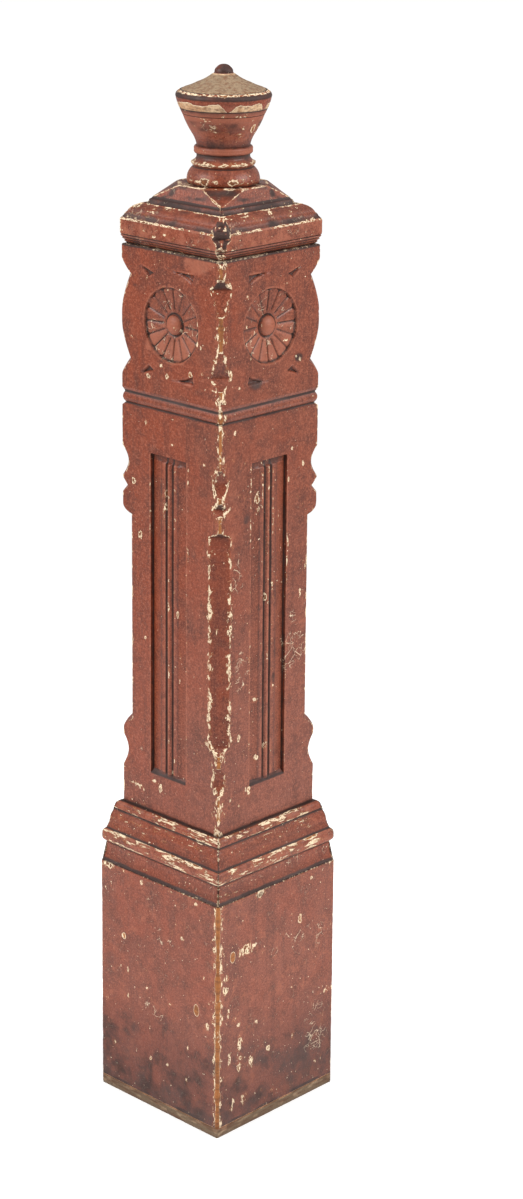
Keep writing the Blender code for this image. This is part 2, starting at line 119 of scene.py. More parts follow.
SHAFT_MARKS = {
    "wear": (
        (
            (1, 852, 4, 1.6, 0.4), (53, 839, 5.2, 2.6, 0.5), (5, 884, 3, 1.4, 0.3), (-65, 867, 1.4, 4, 0.3),
            (-42, 870, 1.6, 4, 0.3), (-63, 796, 3.4, 5, 0.8), (30, 824, 1.3, 5, 0.3),
            (31, 811, 1.6, 5, 0.4), (-9, 790, 1.8, 7, 0.5), (-9, 775, 2.2, 6, 0.7), (-52, 731, 4.2, 6, 1),
            (-44, 604, 2.6, 2.6, 0.4), (10, 645, 2.6, 5, 1), (13, 594, 2.2, 7, 0.8), (13, 561, 2, 4.6, 1),
            (-60, 411, 12, 1.4, 0.4), (-50, 407, 7, 1.5, 0.4), (-17, 418, 3, 6, 0.5), (-29, 422, 4, 3.5, 1),
            (2, 440, 1.6, 3.2, 0.3), (-66, 596, 1.2, 2.6, 0.3), (-4, 566, 1.4, 5, 0.5),
            (-20, 500, 1.2, 1.2, 0.3), (50, 560, 1.2, 3.6, 0.3), (25, 700, 1, 2.4, 0.3),
            (30, 720, 1, 7, 0.3), (-66, 480, 1.6, 1.6, 0.3), (4, 655, 1.2, 3, 0.4),
        ),
        (
            (38, 842, 5, 2.6, 0.7), (-58, 877, 2.4, 4.6, 0.9), (57, 820, 2.4, 3.2, 0.4),
            (32, 805, 2.4, 5, 0.9), (-17, 790, 3.4, 7, 0.9), (-16, 776, 2, 4, 0.6), (-4, 665, 3, 6, 1),
            (9, 678, 2, 7, 0.9), (55, 659, 2.6, 7, 0.9), (11, 572, 2, 3, 0.4), (11, 546, 2.4, 7, 0.4),
            (-18, 539, 4.2, 4, 0.9), (-49, 499, 2.2, 4.4, 0.5), (-17, 466, 3, 3.2, 0.4),
            (-33, 428, 5.6, 7, 1), (-2, 478, 3.6, 6, 0.9), (34, 497, 1.6, 2.6, 0.4),
            (-60, 845, 2, 1.4, 0.3), (-36, 640, 1.4, 2.2, 0.3), (-62, 425, 2, 3.6, 0.4),
            (-48, 413, 1.4, 2.2, 0.3), (20, 760, 1, 4, 0.3), (33, 725, 1, 5, 0.3), (64, 690, 1.2, 2.6, 0.3),
        ),
    ),
    "rub_and_highlight": (
        ((0, 850, 60, 18, 0.25),),
        ((-60, 780, 12, 60, 0.35), (60, 600, 14, 60, 0.3)),
    ),
    "grime_and_shade": (
        ((-75, 780, 8, 20, 0.4), (-40, 640, 8, 14, 0.3)),
        ((-38, 770, 7, 8, 0.55), (12, 560, 4, 9, 0.6), (-40, 720, 7, 12, 0.3)),
    ),
    "scratch": (
        ((-55, 470, 12, 24, 0.4),),
        ((-43, 577, 13, 38, 1), (45, 594, 20, 44, 1), (52, 520, 10, 26, 0.7), (-52, 700, 10, 30, 0.5)),
    ),
}
PLINTH_MARKS = {
    "wear": (
        (
            (-88, 301, 13, 4.5, 0.6), (-62, 301, 5, 4, 0.6), (40, 244, 3.6, 2.6, 0.4),
            (-55, 170, 1.8, 2.8, 0.3), (-54, 134, 1.6, 3.6, 0.4), (-80, 62, 3.6, 7, 0.5),
            (-67, 70, 2, 1.6, 0.3), (51, 102, 2.4, 3, 0.4), (-14, 65, 2.2, 3.4, 0.5), (16, 67, 3.8, 4, 1),
            (49, 59, 2.4, 6, 0.9), (53, 128, 3.4, 1.3, 0.3), (84, 142, 5, 6, 0.8), (-20, 158, 2, 2.2, 0.3),
            (20, 150, 2.4, 2, 0.4), (30, 262, 1.2, 3.6, 0.3), (46, 260, 1.3, 2.4, 0.3),
            (-30, 296, 3, 3, 0.5), (20, 299, 3, 2, 0.4), (66, 297, 6, 2.6, 0.9), (88, 175, 3, 2.4, 0.5),
            (86, 122, 2, 4.6, 0.4), (78, 205, 2, 2.4, 0.4), (-92, 120, 2.6, 3.4, 0.4),
        ),
        (
            (42, 244, 4.2, 6, 0.6), (26, 255, 1.6, 1.4, 0.3), (-30, 300, 9, 5, 1), (-55, 234, 16, 8, 1),
            (-88, 208, 4, 5, 0.6), (-90, 192, 5, 6, 0.8), (-66, 142, 3, 6, 0.5), (-64, 117, 3.8, 9, 0.6),
            (-62, 94, 4.2, 3, 0.5), (-45, 83, 3.4, 7, 0.5), (-66, 84, 2.4, 6, 0.4), (-56, 37, 5, 8, 0.6),
            (-79, 37, 4.6, 7, 0.4), (-82, 98, 2.4, 6, 0.4), (-15, 90, 5, 5, 1), (27, 157, 2.8, 2.4, 0.4),
            (31, 90, 2.6, 4, 0.4), (92, 132, 5, 4, 0.5), (-6, 30, 2, 3.6, 0.4), (-36, 132, 1.6, 2.6, 0.3),
            (-74, 150, 2.4, 2.4, 0.3), (60, 292, 3, 2.4, 0.4), (-84, 160, 2.4, 5, 0.5),
            (-90, 75, 3, 4, 0.5),
        ),
    ),
    "bare": (
        ((-62, 214, 6, 6, 0.6), (66, 158, 5.5, 9, 0.84)),
        ((-77, 232, 5, 9, 0.84), (-40, 236, 14, 5, 0.5)),
    ),
    "rub_and_highlight": (
        ((-84, 30, 22, 10, 0.8), (0, 120, 50, 60, 0.2)),
        ((76, 96, 26, 16, 0.5), (60, 62, 34, 10, 0.5), (-60, 70, 34, 60, 0.5), (30, 30, 60, 14, 0.5)),
    ),
    "grime_and_shade": (
        ((-88, 175, 9, 14, 0.4), (50, 40, 60, 14, 0.35)),
        ((-30, 299, 7, 4, 0.9), (-10, 210, 3, 3, 0.5), (-30, 130, 3, 3, 0.5)),
    ),
    "scratch": (
        ((-20, 130, 34, 10, 0.8), (10, 230, 40, 30, 0.3)),
        ((70, 90, 26, 40, 1), (20, 220, 40, 20, 0.6), (80, 230, 14, 40, 0.6)),
    ),
}


def amount(label, words, default, **more):
    return FloatProperty(name=label, description=words, default=default, **more)


def size(label, words, default, **more):
    return amount(label, words, default, unit="LENGTH", precision=5, **more)


def colour(label, words, value):
    return FloatVectorProperty(name=label, description=words, default=value, subtype="COLOR", min=0, max=1)


def angle(label, words, degrees):
    return amount(label, words, math.radians(degrees), subtype="ANGLE")


class NewelSizes(bpy.types.PropertyGroup):
    half: size("Post half width", "Half the side of the square post", SHAFT_HIGH[0] * MM)
    gap: size("Gap", "Gap between pieces that touch", 0.0003)
    arris_wear: size("Arris wear", "How far the corners have worn back", 0.0004)
    chip_depth: size("Chip depth", "Depth of the chips along the corners", 0.0010)
    front_wear: size("Front arris wear", "How far the front corner has worn back", 0.0018)
    front_chip_depth: size("Front chip depth", "Depth of the chips along the front corner", 0.0026)
    band_foot: size("Band foot", "Height of the bead band's foot", 0.887)
    band_height: size("Band height", "Height of the bead band", 0.022)
    bead_height: size("Bead height", "Height of the bead in the band", 0.013)
    panel_bottom: size("Panel bottom", "Height of the panels' lower edge", 0.4328)
    panel_top: size("Panel top", "Height of the panels' upper edge", 0.8355)
    panel_depth: size("Panel depth", "Depth of a panel at its walls", 0.0047)
    panel_slip: size("Panel slip", "How far the front panel sits left of the middle", 0.0040)
    rosette_radius: size("Rosette radius", "Radius of a rosette", 0.0453)
    petals: IntProperty(name="Petals", description="Petals round a rosette", default=16, min=3)
    petal_groove: size("Petal groove", "Depth of the grooves between petals", 0.0018)
    button_radius: size("Button radius", "Radius of a rosette's button", 0.0125)
    pocket_depth: size("Pocket depth", "Depth of the chip-carved pockets", 0.0036)


class NewelColours(bpy.types.PropertyGroup):
    paint_warm: colour("Warm paint", "Red-brown paint where it is warmest", (0.209, 0.035, 0.0100))
    paint_cool: colour("Cool paint", "Red-brown paint where it is pinkest", (0.200, 0.050, 0.0245))
    # Dark paint also darkens the paint softly under dirt and painted shade
    paint_dark: colour("Dark paint", "Darker, thicker paint", (0.066, 0.013, 0.0065))
    # Pale paint is also the colour of the painted highlight on crests and edges
    paint_pale: colour("Pale paint", "Rubbed, chalky paint", (0.345, 0.107, 0.057))
    under_brown: colour("Older brown", "Older brown paint inside a chip", (0.150, 0.046, 0.016))
    cream: colour("Cream", "Old cream paint under the red", (0.830, 0.660, 0.450))
    wood: colour("Wood", "Bare orange-brown wood", (0.350, 0.125, 0.032))
    tan_wood: colour("Tan wood", "Bare wood scoured pale", (0.620, 0.420, 0.250))
    grey_wood: colour("Grey wood", "Bare weathered wood", (0.290, 0.200, 0.120))
    # Smudge and grime are the colours of dirt, and also of the painted shade in hollows, creases and joints
    smudge: colour("Smudge", "Grey dirt rubbed into the paint", (0.075, 0.048, 0.042))
    grime_and_shade: colour("Grime", "Dark dirt in the hollows", (0.026, 0.011, 0.008))
    floor: colour("Floor", "Plain pale floor", (0.93, 0.93, 0.93))


class NewelStage(bpy.types.PropertyGroup):
    distance: size("Distance", "Camera's distance from the post's axis", 3.165)
    height: size("Camera height", "Camera's height above the floor", 1.6842)
    azimuth: angle("Azimuth", "Where the camera stands round the post", 44.75)
    pan: angle("Pan", "Turn of the camera off the axis", -0.89)
    pitch: angle("Pitch", "How far the camera looks down", 14.04)
    roll: angle("Roll", "Tilt of the camera about its view", 0.5065)
    lens: amount("Lens", "Focal length in millimetres", 82.22)
    shift: amount("Shift", "Upward shift of the frame", -0.1664)
    spread: angle("Spread", "Angle of each side softbox from the camera", 68.0)
    left_power: amount("Left light", "Power of the left softbox", 95.0, subtype="POWER")
    right_power: amount("Right light", "Power of the right softbox", 92.0, subtype="POWER")
    top_power: amount("Top light", "Power of the softbox overhead", 22.0, subtype="POWER")
    sky: amount("Sky", "Strength of the light from all round", 0.55)
    floor_glow: amount("Floor glow", "Light that the white floor adds, to clear the shadows", 0.22)
    backdrop: amount("Backdrop", "Brightness of the white that the camera sees", 1.03)


def measures(context):
    """The post's lengths in millimetres, and its count of petals, under their own names."""
    sizes = context.scene.newel_sizes
    lengths = {name: getattr(sizes, name) / MM for name in NewelSizes.__annotations__}
    lengths["petals"] = sizes.petals
    return SimpleNamespace(**lengths)


def follow(*rows):
    """A line through the rows, each (x, y, values) or (x, y, values, rise), the first without a rise.

    With t from 0 to 1 a span is a + t(b - a) + 4 rise t(1 - t) n, n being the unit normal to the
    left of b - a in x and y. Without a rise it is straight. The values run straight from a to b.
    """
    numbers = len(rows[0])
    line = [np.array([rows[0]], dtype=float)]
    for row in rows[1:]:
        rise = row[numbers] if len(row) > numbers else 0.0
        a, b = line[-1][-1], np.array(row[:numbers], dtype=float)
        t = np.linspace(0.0, 1.0, 2 if rise == 0.0 else 11)[1:, None]
        chord = b - a
        normal = np.zeros_like(chord)
        normal[:2] = np.array([-chord[1], chord[0]]) / math.hypot(chord[0], chord[1])
        line.append(a + t * chord + 4.0 * rise * t * (1.0 - t) * normal)
    return np.vstack(line)


def respace(line, step):
    """The same line with its long spans cut into equal lengths no longer than step."""
    length = np.hypot(*np.diff(line[:, :2], axis=0).T)
    parts = np.maximum(1, np.ceil(length / step)).astype(int)
    start = np.repeat(np.arange(len(parts)), parts)
    first = np.repeat(np.cumsum(parts) - parts, parts)
    share = ((np.arange(parts.sum()) - first) / parts[start])[:, None]
    cut = line[start] * (1.0 - share) + line[start + 1] * share
    return np.vstack([cut, line[-1:]])


def ease(x, low, high):
    """0 below low, 1 above high, and 3t2 - 2t3 between; with low above high it falls instead."""
    t = np.clip((x - low) / (high - low), 0.0, 1.0)
    return t * t * (3.0 - 2.0 * t)


def wander(x, step, seed):
    """Smooth random values from -1 to 1: heights on a lattice of that step, joined by 3t2 - 2t3."""
    place = np.asarray(x) / step
    low = int(np.floor(place.min())) - 1
    lattice = np.random.default_rng(seed).uniform(-1.0, 1.0, int(np.ceil(place.max())) - low + 3)
    index = np.floor(place).astype(int) - low
    t = ease(place - np.floor(place), 0.0, 1.0)
    return lattice[index] * (1.0 - t) + lattice[index + 1] * t


def patchy(u, v, step, seed):
    """Smooth random values from -1 to 1 over two coordinates, as wander over each in turn.

    The lattice repeats after 257 steps of u and 263 of v, and both start from the step -4096.
    """
    a, b = u / step + 4096.0, v / step + 4096.0
    i, j = np.floor(a).astype(int), np.floor(b).astype(int)
    s, t = ease(a - i, 0.0, 1.0), ease(b - j, 0.0, 1.0)
    lattice = np.random.default_rng(seed).uniform(-1.0, 1.0, (257, 263))

    def along(row):
        here, next_one = lattice[i % 257, row % 263], lattice[(i + 1) % 257, row % 263]
        return here * (1.0 - s) + next_one * s

    return along(j) * (1.0 - t) + along(j + 1) * t


def near(value, width):
    """1 at 0, falling to 0 with distance as exp(-(d / width)2)."""
    return np.exp(-((value / width) ** 2))


def most(*fields):
    """The largest of several fields, place by place."""
    return functools.reduce(np.maximum, fields)


def quarter(x, y, turns):
    """x and y turned by that many quarter turns about Z, from +X towards +Y."""
    cosine, sine = math.cos(turns * math.pi / 2.0), math.sin(turns * math.pi / 2.0)
    return x * cosine - y * sine, x * sine + y * cosine


def shell_object(name, points, marks, material, turn=0):
    """A closed skin from a grid of points in mm, rows by columns, whose columns join round.

    Each end row is closed by a fan to its mean point. marks are named values, one for each point,
    that the paint reads. turn counts quarter turns about Z, and edges over 32 degrees are sharp.
    """
    rows, columns = points.shape[:2]
    ends = points[[0, -1]].mean(axis=1)
    verts = np.vstack([points.reshape(-1, 3), ends])
    verts = np.stack([*quarter(verts[:, 0], verts[:, 1], turn), verts[:, 2]], axis=-1) * MM
    ring = np.arange(columns)
    after = (ring + 1) % columns
    first = np.arange(rows - 1)[:, None] * columns
    here, there = first + ring, first + after
    quads = np.stack([here, there, there + columns, here + columns], axis=-1).reshape(-1, 4)
    foot_fan = np.full(columns, rows * columns)
    foot = np.stack([foot_fan, after, ring], axis=-1)
    head = np.stack([foot_fan + 1, here[-1] + columns, there[-1] + columns], axis=-1)
    mesh = bpy.data.meshes.new(name)
    mesh.from_pydata(verts.tolist(), [], quads.tolist() + foot.tolist() + head.tolist())
    mesh.polygons.foreach_set("use_smooth", np.ones(len(mesh.polygons), dtype=bool))
    mesh.set_sharp_from_angle(angle=math.radians(32.0))
    for label, values in marks.items():
        values = np.broadcast_to(values, (rows, columns))
        values = np.append(values.reshape(-1), [values[0].mean(), values[-1].mean()])
        mesh.attributes.new(label, "FLOAT", "POINT").data.foreach_set("value", values.astype(np.float32))
    mesh.update()
    piece = bpy.data.objects.new(name, mesh)
    bpy.context.scene.collection.objects.link(piece)
    mesh.materials.append(material)
    return piece


def dress(piece, slot, *nodes):
    """Rides a piece on the post, in place of its CAD nodes."""
    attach(piece, "root")
    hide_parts(*nodes)


def square_rings(height, half, cut, across, core, relief, slips=(0.0, 0.0, 0.0, 0.0)):
    """Rings of a square post with cut corners, from the front face round by the right.

    In row i the faces stand half[i] from the axis, and corner k is cut back cut[i, k] along its
    diagonal, so a face reaches to w = half - cut * sqrt 2. A column at s within core stays at u = s;
    one beyond it goes to u = core + (|s| - core)(w - core) / (S - core), S being the last column.
    relief(side, u, z) is a depth below the face. slips moves the middle of a face sideways by a
    length that fades to nothing at core. Gives the points, and the distance to an arris.
    """
    last = across[-1]
    points, arris = [], []
    for side in range(4):
        right = (half - cut[:, side] * math.sqrt(2.0))[:, None]
        left = (half - cut[:, side - 1] * math.sqrt(2.0))[:, None]
        reach = np.where(across > 0.0, right, left)
        beyond = core + (np.abs(across) - core) * (reach - core) / (last - core)
        u = np.where(np.abs(across) <= core, across, np.sign(across) * beyond)
        z = np.broadcast_to(height[:, None], u.shape)
        out = half[:, None] - relief(side, u, z)
        slip = slips[side] * ease(np.abs(u), core, core * 2.0 / 3.0)
        face = np.stack([*quarter(u + slip, -out, side), z], axis=-1)
        t = CORNER_STEPS
        deep = cut[:, side][:, None]
        swell = 4.0 * t * (1.0 - t) * 0.35 * np.minimum(deep, 1.2) / math.sqrt(2.0)
        x = right * (1.0 - t) + half[:, None] * t + swell
        y = -half[:, None] * (1.0 - t) - right * t - swell
        z = np.broadcast_to(height[:, None], x.shape)
        corner = np.stack([*quarter(x, y, side), z], axis=-1)
        points += [face, corner]
        arris += [reach - np.abs(u), np.minimum(t, 1.0 - t) * 4.0 * deep]
    return np.concatenate(points, axis=1), np.concatenate(arris, axis=1)


def face_columns(side, across):
    """The columns of one face in the rings."""
    first = side * (len(across) + len(CORNER_STEPS))
    return slice(first, first + len(across))


def on_faces(values, across):
    """One face's field laid on the columns of all four, and 0 on the corners between them."""
    corner = np.zeros((len(values), len(CORNER_STEPS)))
    return np.tile(np.concatenate([values, corner], axis=1), 4)


def on_front_corner(values, across):
    """One value for each row laid on the columns of the front corner, and 0 elsewhere."""
    field = np.zeros((len(values), 4 * (len(across) + len(CORNER_STEPS))))
    field[:, len(across):len(across) + len(CORNER_STEPS)] = values[:, None]
    return field


def corner_flags(across):
    """1 for the columns of the corners and 0 for those of the faces."""
    return np.tile(np.repeat([0.0, 1.0], [len(across), len(CORNER_STEPS)]), 4)


def worn(z, seed, wear, depth):
    """How far an arris has worn back along its diagonal, with chips where a random line peaks."""
    bites = np.maximum(0.0, wander(z, 7, seed) + 0.5 * wander(z, 2.6, seed + 1) - 0.55)
    return wear * (1.0 + 0.5 * wander(z, 31, seed + 2) + 0.25 * wander(z, 5, seed + 3)) + depth * bites


def corner_cut(sizes, z, carved):
    """Cut at the four corners for each height, as the root of (carved outline)2 + (wear)2.

    The front corner is the most worn, so its carving is wider, by an eighth at the top of the post.
    """
    cuts = []
    for corner in range(4):
        if corner == FRONT_CORNER:
            wear = worn(z, 40, sizes.front_wear, sizes.front_chip_depth)
            deep = carved * (1.0 + 0.12 * ease(z, 450, 950))
        else:
            wear = worn(z, 40 + 10 * corner, sizes.arris_wear, sizes.chip_depth)
            deep = carved
        cuts.append(np.sqrt(deep ** 2 + wear ** 2))
    return np.stack(cuts, axis=1)


def hand_marks(label, u, z, marks):
    """The largest of one face's listed marks at each place, r being 1 at a mark's half sizes.

    Wear is 0.72 + 0.38 k (1 - 1.7 r2): the paint goes at about 0.75, so a low k leaves a flake cream
    right across and a high k bares the wood inside its rim. Any other mark is k exp(-r4).
    """
    field = np.zeros_like(u)
    for across, height, wide, tall, k in marks:
        reach = ((u - across) / wide) ** 2 + ((z - height) / tall) ** 2
        mark = 0.72 + 0.38 * k * (1.0 - 1.7 * reach) if label == "wear" else k * np.exp(-(reach ** 2))
        field = np.maximum(field, mark)
    return field


def mark_faces(points, across, fields, tables):
    """Raises the fields to the listed marks on the front and the right face."""
    for side in (0, 1):
        columns = face_columns(side, across)
        u = quarter(points[:, columns, 0], points[:, columns, 1], -side)[0]
        for label, marks in tables.items():
            placed = hand_marks(label, u, points[:, columns, 2], marks[side])
            fields[label][:, columns] = np.maximum(fields[label][:, columns], placed)


def arris_marks(arris, z, front, seed):
    """Wear along an arris, wide and strong where random lines rise, and stronger by the front corner.

    It is sparer across the bead band, and heavier along the long chamfer.
    """
    spare = ease(z, 822, 840) * ease(z, 925, 905)
    heavy = ease(z, 480, 520) * ease(z, 770, 740)
    width = 1.5 + front * (6.5 + 2.0 * heavy + 4.6 * wander(z, 8, seed))[:, None]
    strength = 0.68 + front * (0.05 + 0.06 * heavy + 0.26 * wander(z, 13, seed + 1))[:, None]
    return near(arris, width) * strength * (1.0 - 0.30 * front * spare[:, None])


def shade_under_cuts(carved, z, across):
    """Painted shade on the carved facets of the front corner that face down, where the depth grows downwards.
    """
    return on_front_corner(0.62 * ease(-np.gradient(carved, z), 0.15, 0.7), across)


def worn_strip(carved, z, across, seed):
    """Bareness of the worn strip along the front arris, where the corner isn't carved."""
    return on_front_corner((1.0 - ease(carved, 1.5, 4)) * (0.62 + 0.14 * wander(z, 15, seed)), across)


def bead_foot(sizes):
    """Height of the bead's foot, where the carved block stands on the panelled shaft."""
    return sizes.band_foot + sizes.band_height * 0.45 - sizes.bead_height / 2


def block_centre(sizes):
    """Height of the rosettes' centres, midway from the bead band to the cap."""
    return (sizes.band_foot + sizes.band_height + SHAFT_HIGH[2]) / 2


def band_inset(sizes, z):
    """How far the face is set back at the bead band: two grooves with a bowed bead between them."""
    top = sizes.band_foot + sizes.band_height
    middle = sizes.band_foot + sizes.band_height * 0.45
    line = follow(
        (sizes.band_foot, 0),
        (middle - sizes.bead_height / 2, 3.2),
        (middle + sizes.bead_height / 2, 2.2, -2.2),
        (middle + sizes.bead_height / 2 + 1, 2.2),
        (top, 0),
    )
    return np.interp(z, line[:, 0], line[:, 1])


def block_outline(sizes, z):
    """Depth of the corner carving of the block: a notch above and a notch below a long bowed leaf."""
    low, high = block_centre(sizes) - NOTCH_REACH, block_centre(sizes) + NOTCH_REACH
    line = follow(
        (low - 19, 0),
        (low, CARVING_DEPTH, -1),
        (low + 45, 0, -1.6),
        (high - 45, 0),
        (high, CARVING_DEPTH, -1.6),
        (high + 19, 0, -1),
    )
    return np.interp(z, line[:, 0], line[:, 1])


def shaft_outline(sizes, z):
    """Depth of the corner carving of the shaft: cove, land and curl, a long chamfer, bead, notch and cove."""
    low, high, deep = sizes.panel_bottom - 2.5, sizes.panel_top + 2.5, CARVING_DEPTH
    cove, notch = high - 39, high - 58
    bead = notch - 17
    land = low + 42
    line = follow(
        (low, 0),
        (land, 0, 6.7),
        (land + 5.5, 0),
        (land + 20.5, deep, -2.2),
        (bead - 8.5, deep),
        (bead, 1, -2.2),
        (notch, 1, -0.5),
        (notch + 7.2, 7.5),
        (cove, 0),
        (high, 0, 7.9),
    )
    return np.interp(z, line[:, 0], line[:, 1])


def rosette_depth(sizes, u, v):
    """Depth of a rosette at (u, v) from its centre.

    With q from 0 on a petal's crown to 1 in its groove, a petal ends at R - 1 - 4.5(1 - sqrt(1 - q2)) mm.
    Its surface falls from 2.2 mm deep at the rim to 6.8 mm at the button, with a V groove between
    petals. Past its end the floor is 3.9 mm deep. The button is half an ellipsoid, 8.3 mm high on a
    floor 8 mm deep.
    """
    radius, turn = np.hypot(u, v), np.arctan2(v, u)
    rim, button = sizes.rosette_radius, sizes.button_radius
    pitch = 2.0 * math.pi / sizes.petals
    q = np.abs(np.mod(turn / pitch, 1.0) - 0.5) * 2.0
    end = rim - 1.0 - 4.5 * (1.0 - np.sqrt(np.maximum(0.0, 1.0 - q * q)))
    inner = button + 2.2
    fall = np.clip((radius - inner) / (rim - inner), 0.0, 1.0)
    to_groove = (1.0 - q) * pitch * radius / 2.0
    groove = sizes.petal_groove * (np.maximum(0.0, 1.0 - to_groove / 1.5) * 0.75 + 0.25 * q ** 2)
    petal = 6.8 + (2.2 - 6.8) * fall ** 0.9 + groove * ease(radius, inner, inner + 5)
    depth = petal + (np.maximum(petal, 3.9) - petal) * ease(radius, end, end + 1.0)
    dome = 8.0 - 8.3 * np.sqrt(np.maximum(0.0, 1.0 - (radius / button) ** 2))
    ring = 8.0 + (petal - 8.0) * ease(radius, button + 0.6, inner + 0.4)
    depth = np.where(radius < button, dome, np.where(radius < inner + 0.5, ring, depth))
    return np.where(radius < rim, depth, 0.0)


def pocket_depth(sizes, u, v):
    """Depth of the four chip-carved pockets round a rosette.

    A pocket is bounded by a circle round the rosette and two straight sides that meet at its far
    corner. Its depth is the least distance to the three, times 1.7, up to the full depth.
    """
    circle = 65.5
    depth = np.zeros_like(u)
    for side, first, last, tip in ((1, 57, 88, (38.0, 65.4)), (-1, 54, 64, (51.9, 66.0))):
        a, b = u * side, np.abs(v)
        bounds = [np.hypot(a, b) - circle + 1.4]
        for degrees, hand in ((first, 1.0), (last, -1.0)):
            turn = math.radians(degrees)
            start = circle * np.array([math.cos(turn), math.sin(turn)])
            along = (tip - start) / np.hypot(*(tip - start))
            bounds.append(hand * (along[0] * (b - start[1]) - along[1] * (a - start[0])))
        inside = np.where((a > 0.0) & (b > 0.0), np.minimum.reduce(bounds), 0.0)
        depth = np.maximum(depth, np.clip(inside * 1.7, 0.0, sizes.pocket_depth))
    return depth


def by_rim(sizes, u, v, spacing):
    """Where a grid point lies so close to the rosette's rim that it is moved onto it."""
    return np.abs(np.hypot(u, v) - sizes.rosette_radius) < RIM_SHARE * spacing


def snap_to_rim(sizes, u, v, spacing):
    """Moves the points by the rosette's rim onto it, so that its edge is a clean circle."""
    radius = np.maximum(np.hypot(u, v), 1e-6)
    scale = np.where(by_rim(sizes, u, v, spacing), sizes.rosette_radius / radius, 1.0)
    return u * scale, v * scale


def unevenness(side, u, z, seed):
    """Slow hollows of an old planed face, never proud of it."""
    level = z + FACE_SHIFT * side
    return 0.10 * (1.0 + patchy(u, level, 60, seed)) + 0.03 * (1.0 + patchy(u, level, 9, seed + 1))


